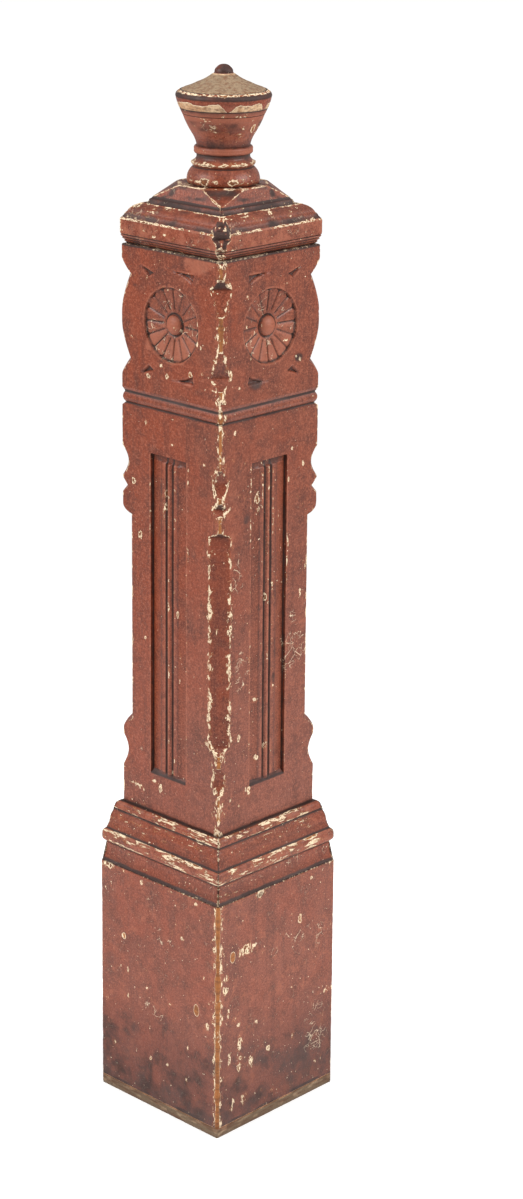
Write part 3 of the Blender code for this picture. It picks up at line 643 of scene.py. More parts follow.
def layers(name, seed, timber="wood", flow=(1.0, 1.0, 0.55), grain=(1.0, 1.0, 0.12),
           brush=(75.0, 75.0, 5.0), flecks=0.0):
    """The old finish: red-brown paint over cream paint over wood.

    The marks wear, grime, bare, rub, scratch and tint on a mesh say where the paint has chipped,
    where the paint is dirty and painted shade falls in hollows, creases and joints, where the wood
    is bare, where the paint is rubbed pale, and where pale paint stands for a painted highlight on
    crests and edges, where it is scratched, and how pink it is. Noise in Object coordinates breaks
    each edge up. Under soiling and painted shade the paint darkens softly first, then in patches.
    timber is the colour of the bare wood. flow stretches the chips, grain the lines in the wood and
    brush the streaks in the paint; flecks lowers the specks' threshold.
    """
    colours = bpy.context.scene.newel_colours
    material = bpy.data.materials.new(name)
    material.use_nodes = True
    tree = material.node_tree
    shader = tree.nodes["Principled BSDF"]

    def put(socket, value):
        if isinstance(value, bpy.types.NodeSocket):
            tree.links.new(value, socket)
        elif value is not None:
            socket.default_value = value

    def make(kind, output, inputs, **settings):
        node = tree.nodes.new("ShaderNode" + kind)
        for label, setting in settings.items():
            setattr(node, label, setting)
        for label, value in inputs.items():
            put(node.inputs[label], value)
        return node.outputs[output]

    def maths(operation, a, b=None, c=None):
        return make("Math", 0, {0: a, 1: b, 2: c}, operation=operation)

    def step(value, low, high):
        inputs = {"Value": value, "From Min": low, "From Max": high}
        return make("MapRange", "Result", inputs, interpolation_type="SMOOTHSTEP")

    def blend(factor, *shades):
        a, b = (shade if isinstance(shade, bpy.types.NodeSocket) else (*shade, 1.0) for shade in shades)
        return make("Mix", 2, {0: factor, 6: a, 7: b}, data_type="RGBA")

    def total(base, *parts):
        for value, gain in parts:
            base = maths("MULTIPLY_ADD", value, gain, base)
        return base

    def middle(value):
        return maths("SUBTRACT", value, 0.5)

    def glaze(under, value, low, high, share, shade):
        return blend(maths("MULTIPLY", step(value, low, high), share), under, shade)

    def stretch(vector, scale, offset):
        place = (offset, offset * 0.7, offset * 1.3)
        return make("Mapping", 0, {"Vector": vector, "Scale": scale, "Location": place})

    def cloud(vector, scale, detail=3.0, roughness=0.55, twist=0.0):
        return make("TexNoise", "Fac", {
            "Vector": vector, "Scale": scale, "Detail": detail, "Roughness": roughness, "Distortion": twist,
        })

    place = stretch(make("TexCoord", "Object", {}), (1.0, 1.0, 1.0), seed)
    wear, grime_and_shade, bare, rub_and_highlight, scratch, tint = (
        make("Attribute", "Fac", {}, attribute_name=label) for label in MARKS
    )
    drift = cloud(place, 6.0, 2.0)
    broad = cloud(place, 17.0, 3.0, 0.6)
    mottle = cloud(place, 55.0, 4.0, 0.62)
    fine = cloud(place, 420.0, 3.0, 0.6)
    grit = cloud(place, 850.0, 3.0, 0.7)
    streak = cloud(stretch(place, brush, 3.1), 1.0, 4.0, 0.65)

    # Paint
    hue = total(tint, (middle(broad), 1.5), (middle(drift), 2.0))
    paint = blend(step(hue, 0.0, 1.0), colours.paint_warm, colours.paint_cool)
    for value, low, high, share, shade in (
        (broad, 0.46, 0.68, 0.42, colours.paint_dark),
        (mottle, 0.47, 0.66, 0.56, colours.paint_dark),
        (streak, 0.49, 0.68, 0.50, colours.paint_dark),
        (fine, 0.50, 0.66, 0.56, colours.paint_pale),
        (fine, 0.48, 0.33, 0.50, colours.paint_dark),
        (grit, 0.52, 0.66, 0.62, colours.paint_pale),
        (grit, 0.47, 0.34, 0.58, colours.paint_dark),
    ):
        paint = glaze(paint, value, low, high, share, shade)
    # Pale rubbed paint, which is also a painted highlight on crests and edges
    rubbed = step(total(cloud(place, 75.0, 6.0, 0.78), (wear, 0.12), (rub_and_highlight, 0.30)), 0.59, 0.78)
    paint = blend(maths("MULTIPLY", rubbed, 0.60), paint, colours.paint_pale)

    # Dirt, and painted shade in hollows, creases and joints: the paint darkens softly, then in patches
    paint = glaze(paint, grime_and_shade, 0.05, 0.60, 0.52, colours.paint_dark)
    dirt_and_shade = step(total(maths("ADD", grime_and_shade, -0.55), (mottle, 0.9)), 0.22, 0.75)
    dirt_and_shade = maths("MULTIPLY", dirt_and_shade, step(grime_and_shade, 0.02, 0.25))
    soot_and_shade = blend(step(broad, 0.45, 0.60), colours.grime_and_shade, colours.smudge)
    paint = blend(maths("MULTIPLY", dirt_and_shade, 0.85), paint, soot_and_shade)

    # Chips: cream at their rim, wood or an older brown inside
    ragged = cloud(stretch(place, flow, 0.9), 190.0, 6.0, 0.66, 0.4)
    field = total(ragged, (wear, 0.30), (middle(broad), 0.30))
    bare_field = total(bare, (middle(ragged), 0.55))
    speck = total(cloud(place, 290.0, 2.0, 0.5), (middle(broad), 0.16), (wear, 0.05))
    chip = maths("MAXIMUM", step(field, 0.728, 0.742), step(bare_field, 0.46, 0.48))
    chip = maths("MAXIMUM", chip, step(speck, 0.742 - flecks, 0.752 - flecks))
    inside = maths("MAXIMUM", step(field, 0.812, 0.835), step(bare_field, 0.53, 0.57))

    # Hairline scratches
    shaken = make("VectorMath", 0, {0: place, 1: maths("MULTIPLY", cloud(place, 60.0, 2.0), 0.03)})
    net = make("TexVoronoi", "Distance", {"Scale": 85.0, "Vector": shaken}, feature="DISTANCE_TO_EDGE")
    scored = step(total(mottle, (scratch, 0.2)), 0.62, 0.68)
    hair = maths("MULTIPLY", step(net, 0.028, 0.008), scored)
    hair = maths("MULTIPLY", hair, step(scratch, 0.05, 0.4))

    # Wood and cream paint
    grain_lines = cloud(stretch(place, tuple(160.0 * part for part in grain), 1.7), 1.0, 4.0, 0.7)
    under = blend(step(broad, 0.42, 0.56), colours.wood, colours.under_brown)
    timber = blend(step(bare, 0.35, 0.6), under, getattr(colours, timber))
    timber = glaze(timber, mottle, 0.46, 0.60, 0.50, colours.wood)
    timber = blend(step(bare, 0.88, 0.98), timber, colours.grey_wood)
    timber = glaze(timber, grain_lines, 0.42, 0.66, 0.70, colours.under_brown)
    timber = glaze(timber, fine, 0.50, 0.70, 0.50, colours.smudge)
    cream = blend(maths("MULTIPLY", step(fine, 0.48, 0.72), 0.35), colours.cream, colours.wood)

    # All the layers, their gloss and their thickness
    skin = glaze(paint, field, 0.66, 0.73, 0.50, colours.wood)
    skin = blend(maths("MULTIPLY", hair, 0.72), skin, colours.cream)
    skin = blend(chip, skin, cream)
    skin = blend(inside, skin, timber)
    # Dark dirt colour, also the painted shade in hollows, creases and joints
    skin = blend(maths("MULTIPLY", dirt_and_shade, 0.52), skin, colours.grime_and_shade)
    put(shader.inputs["Base Color"], skin)

    gloss = total(0.26, (mottle, 0.30), (chip, 0.30), (rubbed, 0.12), (dirt_and_shade, 0.20))
    put(shader.inputs["Roughness"], maths("MINIMUM", gloss, 0.92))
    shader.inputs["Specular IOR Level"].default_value = 0.38
    level = total(
        maths("MULTIPLY", fine, 0.40),
        (chip, -0.55), (grit, 0.16), (inside, -0.35), (mottle, 0.60),
        (maths("MULTIPLY", grain_lines, inside), 0.35),
    )
    bump = make("Bump", 0, {"Strength": 1.0, "Distance": 0.0008, "Height": level})
    put(shader.inputs["Normal"], bump)
    return material


def by_front_corner(points, half, width):
    """1 at the front corner's arris, falling to 0 with distance from it, as near."""
    return near(np.hypot(points[..., 0] - half, points[..., 1] + half), width)


def side_tint(points):
    """Pinker towards +X and warmer towards -Y: a share of the direction from the axis."""
    turn = np.arctan2(points[..., 1], points[..., 0])
    return 0.5 + 0.5 * np.sin(turn + math.pi / 4)


class NEWEL_OT_carved_block(bpy.types.Operator):
    """Makes the carved block at the head of the post, from the bead band up"""

    bl_idname = "newel.carved_block"
    bl_label = "Carved block"

    def execute(self, context):
        sizes = measures(context)
        spacing = 1.28
        top, edge, radius = SHAFT_HIGH[2], sizes.half, sizes.rosette_radius
        foot, centre = bead_foot(sizes), block_centre(sizes)
        band_top = sizes.band_foot + sizes.band_height + 1
        z = np.concatenate([
            np.linspace(foot, band_top, 27)[:-1],
            np.arange(band_top, top - 1.5, spacing),
            top - np.array([1.5, 0.9, 0.4, 0.0]),
        ])
        for notch in (centre - NOTCH_REACH, centre + NOTCH_REACH):
            z[np.argmin(np.abs(z - notch))] = notch
        across = np.arange(-62, 63) * (edge - 1.2) / 62
        across = np.concatenate([[-edge, -edge + 0.5], across, [edge - 0.5, edge]])
        carved = block_outline(sizes, z)
        cut = corner_cut(sizes, z, carved)
        cut[:, FRONT_CORNER] += ease(z, top - 15, top - 8) * (2.0 + 1.2 * wander(z, 4, 5))
        half = edge - band_inset(sizes, z) - 0.8 * ease(z, top - 1.5, top) ** 2
        depths = []

        def relief(side, u, height):
            hand = 1.0 if side % 2 == 0 else -1.0
            v = height - centre
            depth = rosette_depth(sizes, u, v) + pocket_depth(sizes, u * hand, v)
            depths.append(np.where(by_rim(sizes, u, v, spacing), 0.0, depth))
            return depths[-1] + unevenness(side, u, height, 11)

        points, arris = square_rings(z, half, cut, across, core=55, relief=relief)
        height = np.broadcast_to(z[:, None], arris.shape)
        hollow, rims = np.zeros(arris.shape), np.zeros(arris.shape)
        reach = np.full(arris.shape, FAR)
        for side, depth in enumerate(depths):
            columns = face_columns(side, across)
            x, y, level = np.moveaxis(points[:, columns], -1, 0)
            u, out = quarter(x, y, -side)
            u, v = snap_to_rim(sizes, u, level - centre, spacing)
            points[:, columns] = np.stack([*quarter(u, out, side), v + centre], axis=-1)
            reach[:, columns] = np.hypot(u, v)
            smooth = depth
            for axis in (0, 1):
                smooth = sum(np.roll(smooth, shift, axis) for shift in range(-3, 4)) / 7.0
            # Painted shade where the carving sinks below its blurred surroundings; where it stands above
            # them, pale rubbed paint that is partly a painted highlight
            hollow[:, columns] = np.clip((depth - smooth) / 2.2, 0.0, 1.0)
            rims[:, columns] = np.clip((smooth - depth) / 1.3, 0.0, 1.0)
        # Painted shade in the bead band's groove, at the bead's foot and under the cap
        groove = ease(band_inset(sizes, height), 1.0, 2.2) * near(height - band_top + 5, 4)
        hollow = most(hollow, 1.2 * groove, 0.9 * near(height - foot, 1.4), 1.1 * near(height - top, 2.4))
        round_disc = ease(reach, radius + 3, radius + 1)
        petalled = ease(reach, radius - 0.5, radius - 2.5)
        petalled = petalled * (0.40 + 0.60 * ease(height, centre + 16, centre - 8))
        disc = ease(reach, radius + 1, radius - 1) * ease(reach, sizes.button_radius, sizes.button_radius + 2)
        front = by_front_corner(points, edge, 19)
        # Dirt and painted shade in the hollows: lighter on the rosette's rim, stronger in the petals'
        # grooves, most so low on the rosette
        dirt_and_shade = np.minimum(hollow * (1.0 - 0.4 * round_disc + 1.9 * petalled), 1.2 - 0.55 * petalled)
        marks = {
            "wear": most(arris_marks(arris, z, front, 13), 0.70 * near(height - top, 1.8)),
            "grime_and_shade": most(dirt_and_shade, 0.09 * disc, shade_under_cuts(carved, z, across)),
            "bare": worn_strip(carved, z, across, 15),
            # Pale rubbed paint, partly a painted highlight, on the crests and petal edges and over the
            # rosette's lower half
            "rub_and_highlight": most(rims * (1.0 + 2.4 * petalled), 0.90 * disc * ease(height, centre + 30, centre - 30)),
            "scratch": 0.1 + 0.3 * disc,
            "tint": side_tint(points) + 0.9 * disc,
        }
        mark_faces(points, across, marks, BLOCK_MARKS)
        material = layers("Block paint", 0.0)
        dress(shell_object("carved_block", points, marks, material), "shaft_paint", "shaft")
        return {"FINISHED"}


class NEWEL_OT_panelled_shaft(bpy.types.Operator):
    """Makes the length of the post below the bead band, with its reeded panels and carved corners"""

    bl_idname = "newel.panelled_shaft"
    bl_label = "Panelled shaft"

    def execute(self, context):
        sizes = measures(context)
        head = bead_foot(sizes)
        bottom, top = sizes.panel_bottom, sizes.panel_top
        z = np.concatenate([
            [0.0, 150.0, 300.0],
            np.arange(372.0, bottom - 4, 2.4),
            np.arange(bottom - 4, bottom + 9, 1.0),
            np.arange(bottom + 9, bottom + 75, 1.8),
            np.arange(bottom + 75, top - 88, 2.5),
            np.arange(top - 88, top - 13, 1.6),
            np.arange(top - 13, top + 1.2, 0.9),
            np.arange(top + 2, sizes.band_foot - 0.5, 2.2),
            np.linspace(sizes.band_foot, head, 4),
        ])
        a = np.concatenate([
            [0.0, 1.2, 2.4, 3.4, 4.2, 5.1, 5.9, 6.8, 9.0, 11.5, 13.6, 14.4],
            [17.0, 20.0, 23.0, 26.0, 28.5, 29.5, 29.8, 30.0, 31.0],
            np.arange(33.5, 77.0, 2.5),
            [78.5, 80.0, 81.2, 82.0, 82.5],
        ])
        across = np.concatenate([-a[:0:-1], a])
        section = follow(
            (0, 0.8),
            (3.4, 2.3, -0.45),
            (5.1, 4.4),
            (6.8, 2.3),
            (14, 2.2),
            (29.7, sizes.panel_depth, 0.7),
            (30, 0),
        )

        def relief(side, u, height):
            reach = np.abs(u)
            depth = np.interp(reach, section[:, 0], section[:, 1], right=0.0)
            plain = np.interp(reach, [0.0, 29.6, 30.0], [sizes.panel_depth, sizes.panel_depth, 0.0])
            share = np.clip((top - 6.5 - height) / 3.5, 0.0, 1.0)
            depth = plain + (depth - plain) * np.sin(share * math.pi / 2)
            depth = np.minimum(depth, np.maximum(0.0, height - bottom) / 1.2)
            depth = np.where(height > top, 0.0, depth)
            return depth + unevenness(side, u, height, 21)

        carved = shaft_outline(sizes, z)
        cut = corner_cut(sizes, z, carved)
        half = sizes.half - band_inset(sizes, z)
        slips = (-sizes.panel_slip, 0.0, 0.0, 0.0)
        points, arris = square_rings(z, half, cut, across, core=46.5, relief=relief, slips=slips)
        height = np.broadcast_to(z[:, None], arris.shape)
        reach, level = np.meshgrid(np.abs(across), z)
        in_panel = ease(reach, 31, 29.5)
        within = ease(level, bottom, bottom + 2) * ease(level, top + 0.5, top - 0.5)
        # Painted shade in the reeds' quirks and at the panel walls, and along each panel's sill and stopped
        # top
        quirks = most(
            1.3 * near(reach - 5.2, 1.4), 0.9 * near(reach - 29.6, 0.35),
            0.45 * near(reach - 14, 1.6), 0.30 * near(reach - 27, 2),
        )
        sill = ease(level, bottom - 1, bottom + 1) * ease(level, bottom + 7, bottom + 5)
        ends = ease(level, top - 9, top - 7) * ease(level, top + 0.5, top)
        sunk = most(0.55 * sill, 0.95 * near(level - bottom - 1.2, 2), 0.45 * ends)
        # Pale rubbed paint and cream wear on the reed crests and panel edges, partly a painted highlight
        ridges = (near(reach - 31.2, 1.2) + near(reach, 1.8) + 0.9 * near(reach - 8.6, 1.4)) * within
        rims = on_faces(ridges, across)
        facet = ease(carved, 2, 5)[:, None] * corner_flags(across)
        front = by_front_corner(points, sizes.half, 24)
        marks = {
            "wear": most(arris_marks(arris, z, front, 23), 0.45 * rims),
            # Dirt and painted shade: in the panels, at the bead's foot, just above the base moulding and on
            # the carved facets that face down; the carved corners a little darker
            "grime_and_shade": most(
                on_faces(most(quirks * within, sunk * in_panel), across), near(height - head, 1.6),
                0.9 * ease(height, MOULDING_HIGH[2] + 5, MOULDING_HIGH[2] - 1),
                0.24 * facet, shade_under_cuts(carved, z, across),
            ),
            "bare": worn_strip(carved, z, across, 25),
            "rub_and_highlight": 0.7 * rims,
            "scratch": np.full(arris.shape, 0.1),
            "tint": side_tint(points) * (1.0 - facet) - 0.9 * facet + 0.35 * ease(height, 750, 450),
        }
        mark_faces(points, across, marks, SHAFT_MARKS)
        material = layers("Shaft paint", 2.0)
        dress(shell_object("panelled_shaft", points, marks, material), "shaft_paint", "shaft")
        return {"FINISHED"}


class NEWEL_OT_cap(bpy.types.Operator):
    """Makes the moulded cap with its block of cut corners and its broken front corner"""

    bl_idname = "newel.cap"
    bl_label = "Cap"

    def execute(self, context):
        sizes = measures(context)
        foot, top = CAP_LOW[2], CAP_HIGH[2]
        fascia = CAP_HIGH[0]
        base = sizes.half - 4.5
        arris, ovolo = foot + 30, foot + 48
        block = foot + 55
        ovolo_half = fascia - 17.7
        step_half = ovolo_half - 2.7
        block_half = step_half - 6.6
        round_top = foot + 14
        cut_leg = 30.8
        rolls = []
        for roll in (3, 2, 1):
            level = round_top - roll * 3.36
            width = fascia - (fascia - base) * (roll / 4.0) ** 2
            rolls += [(width, level - 0.7, 0.25, 0.3), (width - 0.8, level, 0, 1)]
            rolls += [(width, level + 0.7, 0.35, 0.3)]
        # half width and height in mm, then wear, and grime with painted shade in the quirks, under the ovolo
        # and at the block's foot
        profile = follow(
            (base - 20, foot, 0, 0.8),
            (base, foot, 0.2, 0.8),
            *rolls,
            (fascia, round_top, 0.3, 0.1),
            (fascia, arris - 2, 0.15, 0),
            (fascia, arris - 1.6, 0.92, 0),
            (fascia - 0.4, arris, 0.92, 0),
            (fascia - 1.2, arris + 1, 0.5, 0.7),
            (fascia - 3.2, arris + 3.6, 0.1, 0.6),
            (fascia - 6, arris + 7.9, 0.35, 0.25, -0.4),
            (ovolo_half + 2.4, ovolo - 1.2, 0.4, 0.4, -1.4),
            (ovolo_half + 0.7, ovolo - 0.2, 0.85, 0.1),
            (ovolo_half - 0.5, ovolo, 0.85, 0.1),
            (step_half + 0.5, ovolo - 0.9, 0, 1.1),
            (step_half, ovolo - 1.8, 0, 1.1),
            (step_half - 1.6, ovolo - 0.4, 0.2, 0.9),
            (block_half + 2.6, block - 2.6, 0.25, 0.55, 0.4),
            (block_half + 0.9, block - 1.4, 0.1, 1.2),
            (block_half, block, 0, 1.3),
        )
        profile = respace(profile, 1.6)
        rise = np.linspace(0.0, 1.0, 16)[1:]
        tip = np.stack([
            block_half - 4.9 * rise, block + (top - block) * rise,
            0.1 + 0.80 * near(1.0 - rise, 0.06), 0.35 * near(rise, 0.12),
        ], axis=1)
        lid, tip_end = np.array([1.2, 6.0, 20.0]), len(profile) + len(rise)
        crown = np.stack([tip[-1, 0] - lid, np.full(3, top), (0.9, 0.3, 0.0), (0.0, 0.4, 0.9)], axis=1)
        half, z, wear_line, grime_and_shade_line = np.vstack([profile, tip, crown]).T.copy()
        z[tip_end - 1] -= 0.5
        leg = np.concatenate([np.zeros(len(profile)), cut_leg * rise, cut_leg - lid * (2.0 - math.sqrt(2.0))])
        cut = corner_cut(sizes, z, leg / math.sqrt(2.0))
        cut = np.minimum(cut, (half * 0.95 / math.sqrt(2.0))[:, None])
        torn = ease(z, foot + 1, foot + 12) * ease(z, arris + 14, arris + 3)
        torn[len(profile) - 8:] = 0.0
        broken = 2.4 + 2.6 * ease(z, foot + 12, foot + 28) + 1.2 * wander(z, 5, 8) + 0.7 * wander(z, 1.9, 9)
        cut[:, FRONT_CORNER] += torn * broken
        near_end = fascia - np.concatenate([np.arange(13.0, 1.0, -1.2), [0.4, 0.0]])
        middle = np.linspace(-fascia + 15.5, fascia - 15.5, 47)
        across = np.concatenate([-near_end[::-1], middle, near_end]) / fascia

        def relief(side, u, height):
            nicks = np.maximum(0.0, patchy(u, height + FACE_SHIFT * side, 6, 31) - 0.45) * 1.1
            return nicks * wear_line[:, None] + unevenness(side, u, height, 33)

        points, to_arris = square_rings(z, half, cut, across, core=1e-6, relief=relief)
        # The block leans by a little over a millimetre towards the back right
        lean = np.interp(np.arange(len(z)), [len(profile), tip_end], [0.0, 1.3])
        points[..., :2] += lean[:, None, None]
        level = np.broadcast_to(z[:, None], to_arris.shape)
        facets = level > block
        x, y = points[..., 0], points[..., 1]
        corner = corner_flags(across)
        along = patchy(x + y, level, 13, 36)
        arris_wear = near(to_arris, np.where(facets, 3.8, 2.0)) * np.where(facets, 0.94, 0.75)
        wear = most(wear_line[:, None] * (1.0 + 0.12 * along), arris_wear)
        grime_and_shade = grime_and_shade_line[:, None] * (1.0 + 0.25 * patchy(x - y, level, 16, 35))
        to_edge = to_arris * (1.0 - corner)
        front = (x - y > 1.6 * half[:, None]) * (level < ovolo - 4)
        reach = (0.3 + 4.6 * ease(z, foot + 14, foot + 30) + 1.3 * wander(z, 4, 37))[:, None]
        hole = front * ease(to_edge, reach + 1.4, reach - 1.0)
        bits = ease(patchy(x + y, level, 3.2, 39), 0.25, 0.6) * hole
        grime_and_shade = most(grime_and_shade, hole * (0.80 + 0.30 * wander(z, 6, 43)[:, None])) * (1.0 - bits)
        wear = most(wear * (1.0 - 0.7 * hole), 0.86 * front * near(to_edge - reach - 0.8, 1.8), 0.88 * bits)
        blotches = patchy(x - y, level * 2.0, 9, 38)
        marks = {
            "wear": wear,
            "grime_and_shade": most(grime_and_shade, facets * (0.30 + 0.45 * blotches + 0.20 * corner)),
            "bare": 0.25 * facets * corner,
            "rub_and_highlight": 0.5 * near(to_arris, 4) + 0.3 * wear_line[:, None] + 0.35 * (level < arris),
            "scratch": 0.2,
            "tint": 0.25 + 0.75 * side_tint(points) - 0.3 * facets,
        }
        material = layers("Cap paint", 4.0, flow=(0.5, 0.5, 1.0), brush=(10.0, 10.0, 85.0))
        dress(shell_object("cap_skin", points, marks, material), "cap_paint", "cap")
        return {"FINISHED"}


class NEWEL_OT_finial(bpy.types.Operator):
    """Turns the finial, with its worn rim and its bare wooden cone"""

    bl_idname = "newel.finial"
    bl_label = "Finial"

    def execute(self, context):
        # radius and height in mm, then wear, grime with painted shade in the creases, bareness, and rubbing
        profile = follow(
            (41.4, 0, 0.2, 0.9, 0, 0),
            (42, 0.5, 0.4, 0.6, 0, 0),
            (43, 5.6, 0.4, 0, 0, 0.2, -0.3),
            (36.9, 18.6, 0, 0.2, 0, 0.3, -1.4),
            (35.5, 19.8, 0, 0.9, 0, 0),
            (36.1, 21, 0, 0.3, 0, 0),
            (38, 24, 0.98, 0, 0, 0.5),
            (38, 24.9, 0.98, 0, 0, 0.5),
            (31.5, 30.6, 0, 0.5, 0, 0.2, 0.8),
            (31.4, 34.5, 0, 0.8, 0, 0),
            # The bead's pale rubbed crown is also a painted highlight
            (34.5, 39.5, 0.4, 0, 0.2, 1.4, -1.5),
            (31.4, 44.5, 0, 0.6, 0, 0.2, -1.5),
            (37.2, 58.6, 0.4, 0, 0, 0.3, 0.8),
            (48, 80.6, 0.4, 0, 0, 0.5, -0.6),
            (48.3, 81.2, 0.1, 0.2, 0, 0.8),
            (47.9, 81.7, 0, 1, 0, 0),
            (48.9, 82.3, 0.45, 0.2, 0.1, 0.6),
            (51.2, 87.2, 0.4, 0.5, 0.1, 0.6),
            (51.1, 88.2, 0, 1.5, 0, 0),
            (52, 88.9, 0, 0.3, 0.62, 0.5),
            (55.6, 99.6, 0, 0, 0.62, 0.2, -0.3),
            (56.2, 102, 0, 0, 0, 0),
            (56.1, 103.8, 0, 0.1, 0, 0, -0.1),
            (54.8, 106.3, 0.2, 0.6, 0, 0, -0.1),
            (54, 106.8, 0.94, 0, 0, 0),
            (51.1, 108.9, 0.96, 0, 0, 0, -0.2),
            (50.6, 108, 0, 1.5, 0, 0),
            (48.2, 110, 0, 1.1, 0.8, 0),
            (47, 110.7, 0, 0.3, 1, 0),
            (32, 116.9, 0, 0, 1, 0, 0.4),
            (14.2, 126.6, 0, 0.2, 1, 0, 0.8),
            (12.4, 127.4, 0.6, 0, 0.8, 0),
            (11, 128.7, 0, 0.7, 0, 0),
            (8.3, 134.7, 0, 0.6, 0, 0, -0.9),
            (1, 138.2, 0, 0.5, 0, 0, -1),
        )
        profile = respace(profile, 1.3)
        radius, height, wear, grime_and_shade, bare, rub_and_highlight = profile.T
        turn = np.linspace(0.0, 2.0 * math.pi, 144, endpoint=False)
        turn, level = np.meshgrid(turn, height)
        arc = turn * 50
        nick = np.maximum(0.0, patchy(arc, level, 5, 51) - 0.4) * 0.9 * wear[:, None]
        out = np.maximum(radius[:, None] - nick - 0.06 * (1.0 + patchy(arc, level, 30, 52)), 0.4)
        # The finial stands a little off the middle, towards the back right
        shift = 1.6
        x, y = shift + out * np.cos(turn), shift + out * np.sin(turn)
        points = np.stack([x, y, level + FINIAL_FOOT], axis=-1)
        away = np.mod(turn + math.pi / 4 + math.pi, 2.0 * math.pi) - math.pi
        drips = most(near(away - 0.10, 0.13), near(np.abs(away - 1.05), 0.10))
        edge = 96.6 + 1.6 * patchy(arc, level * 0.0, 9, 53) - 8.5 * drips
        band = np.clip(0.5 + (edge - level) / 9, 0.0, 0.85) - 0.35 * near(np.abs(away) - 2.4, 0.9)
        scuff = ease(level, 58, 66) * ease(level, 80, 74)
        rings = 0.5 + 0.5 * np.sin(radius * 2.0 * math.pi / 3.1)[:, None]
        cone = ease(level, 110, 112) * ease(level, 127, 126)
        dirty = 0.38 * scuff * (1.0 + 0.7 * patchy(arc, level * 2.0, 12, 54)) + cone * (0.20 + 0.36 * rings)
        chips = most(
            near(away + 0.55, 0.17) * near(level - 6, 5) + near(away + 0.20, 0.09) * near(level - 7, 3),
            near(away - 0.25, 0.18) * near(level - 6, 4), near(away - 0.95, 0.10) * near(level - 66, 6),
        )
        scoured = 0.9 * scuff * near(np.abs(away) - 1.2, 0.5) + 0.3 * ease(level, 72, 78) * (level < 88)
        marks = {
            "wear": most(wear[:, None], 1.4 * chips),
            "grime_and_shade": most(grime_and_shade[:, None], dirty, 0.75 * ease(level, 100, 102) * ease(level, 108, 106.5)),
            "bare": np.where((level > 88.5) * (level < 104), band, bare[:, None]),
            "rub_and_highlight": rub_and_highlight[:, None] + scoured,
            "scratch": 0.3 * scuff,
            "tint": 0.5 * side_tint(points) - 0.6 * ease(level, 50, 60),
        }
        material = layers(
            "Finial paint", 6.0, timber="tan_wood",
            flow=(0.6, 0.6, 1.0), grain=(1.1, 1.1, 2.0), brush=(9.0, 9.0, 160.0),
        )
        dress(shell_object("finial_skin", points, marks, material), "finial_paint", "finial")
        return {"FINISHED"}


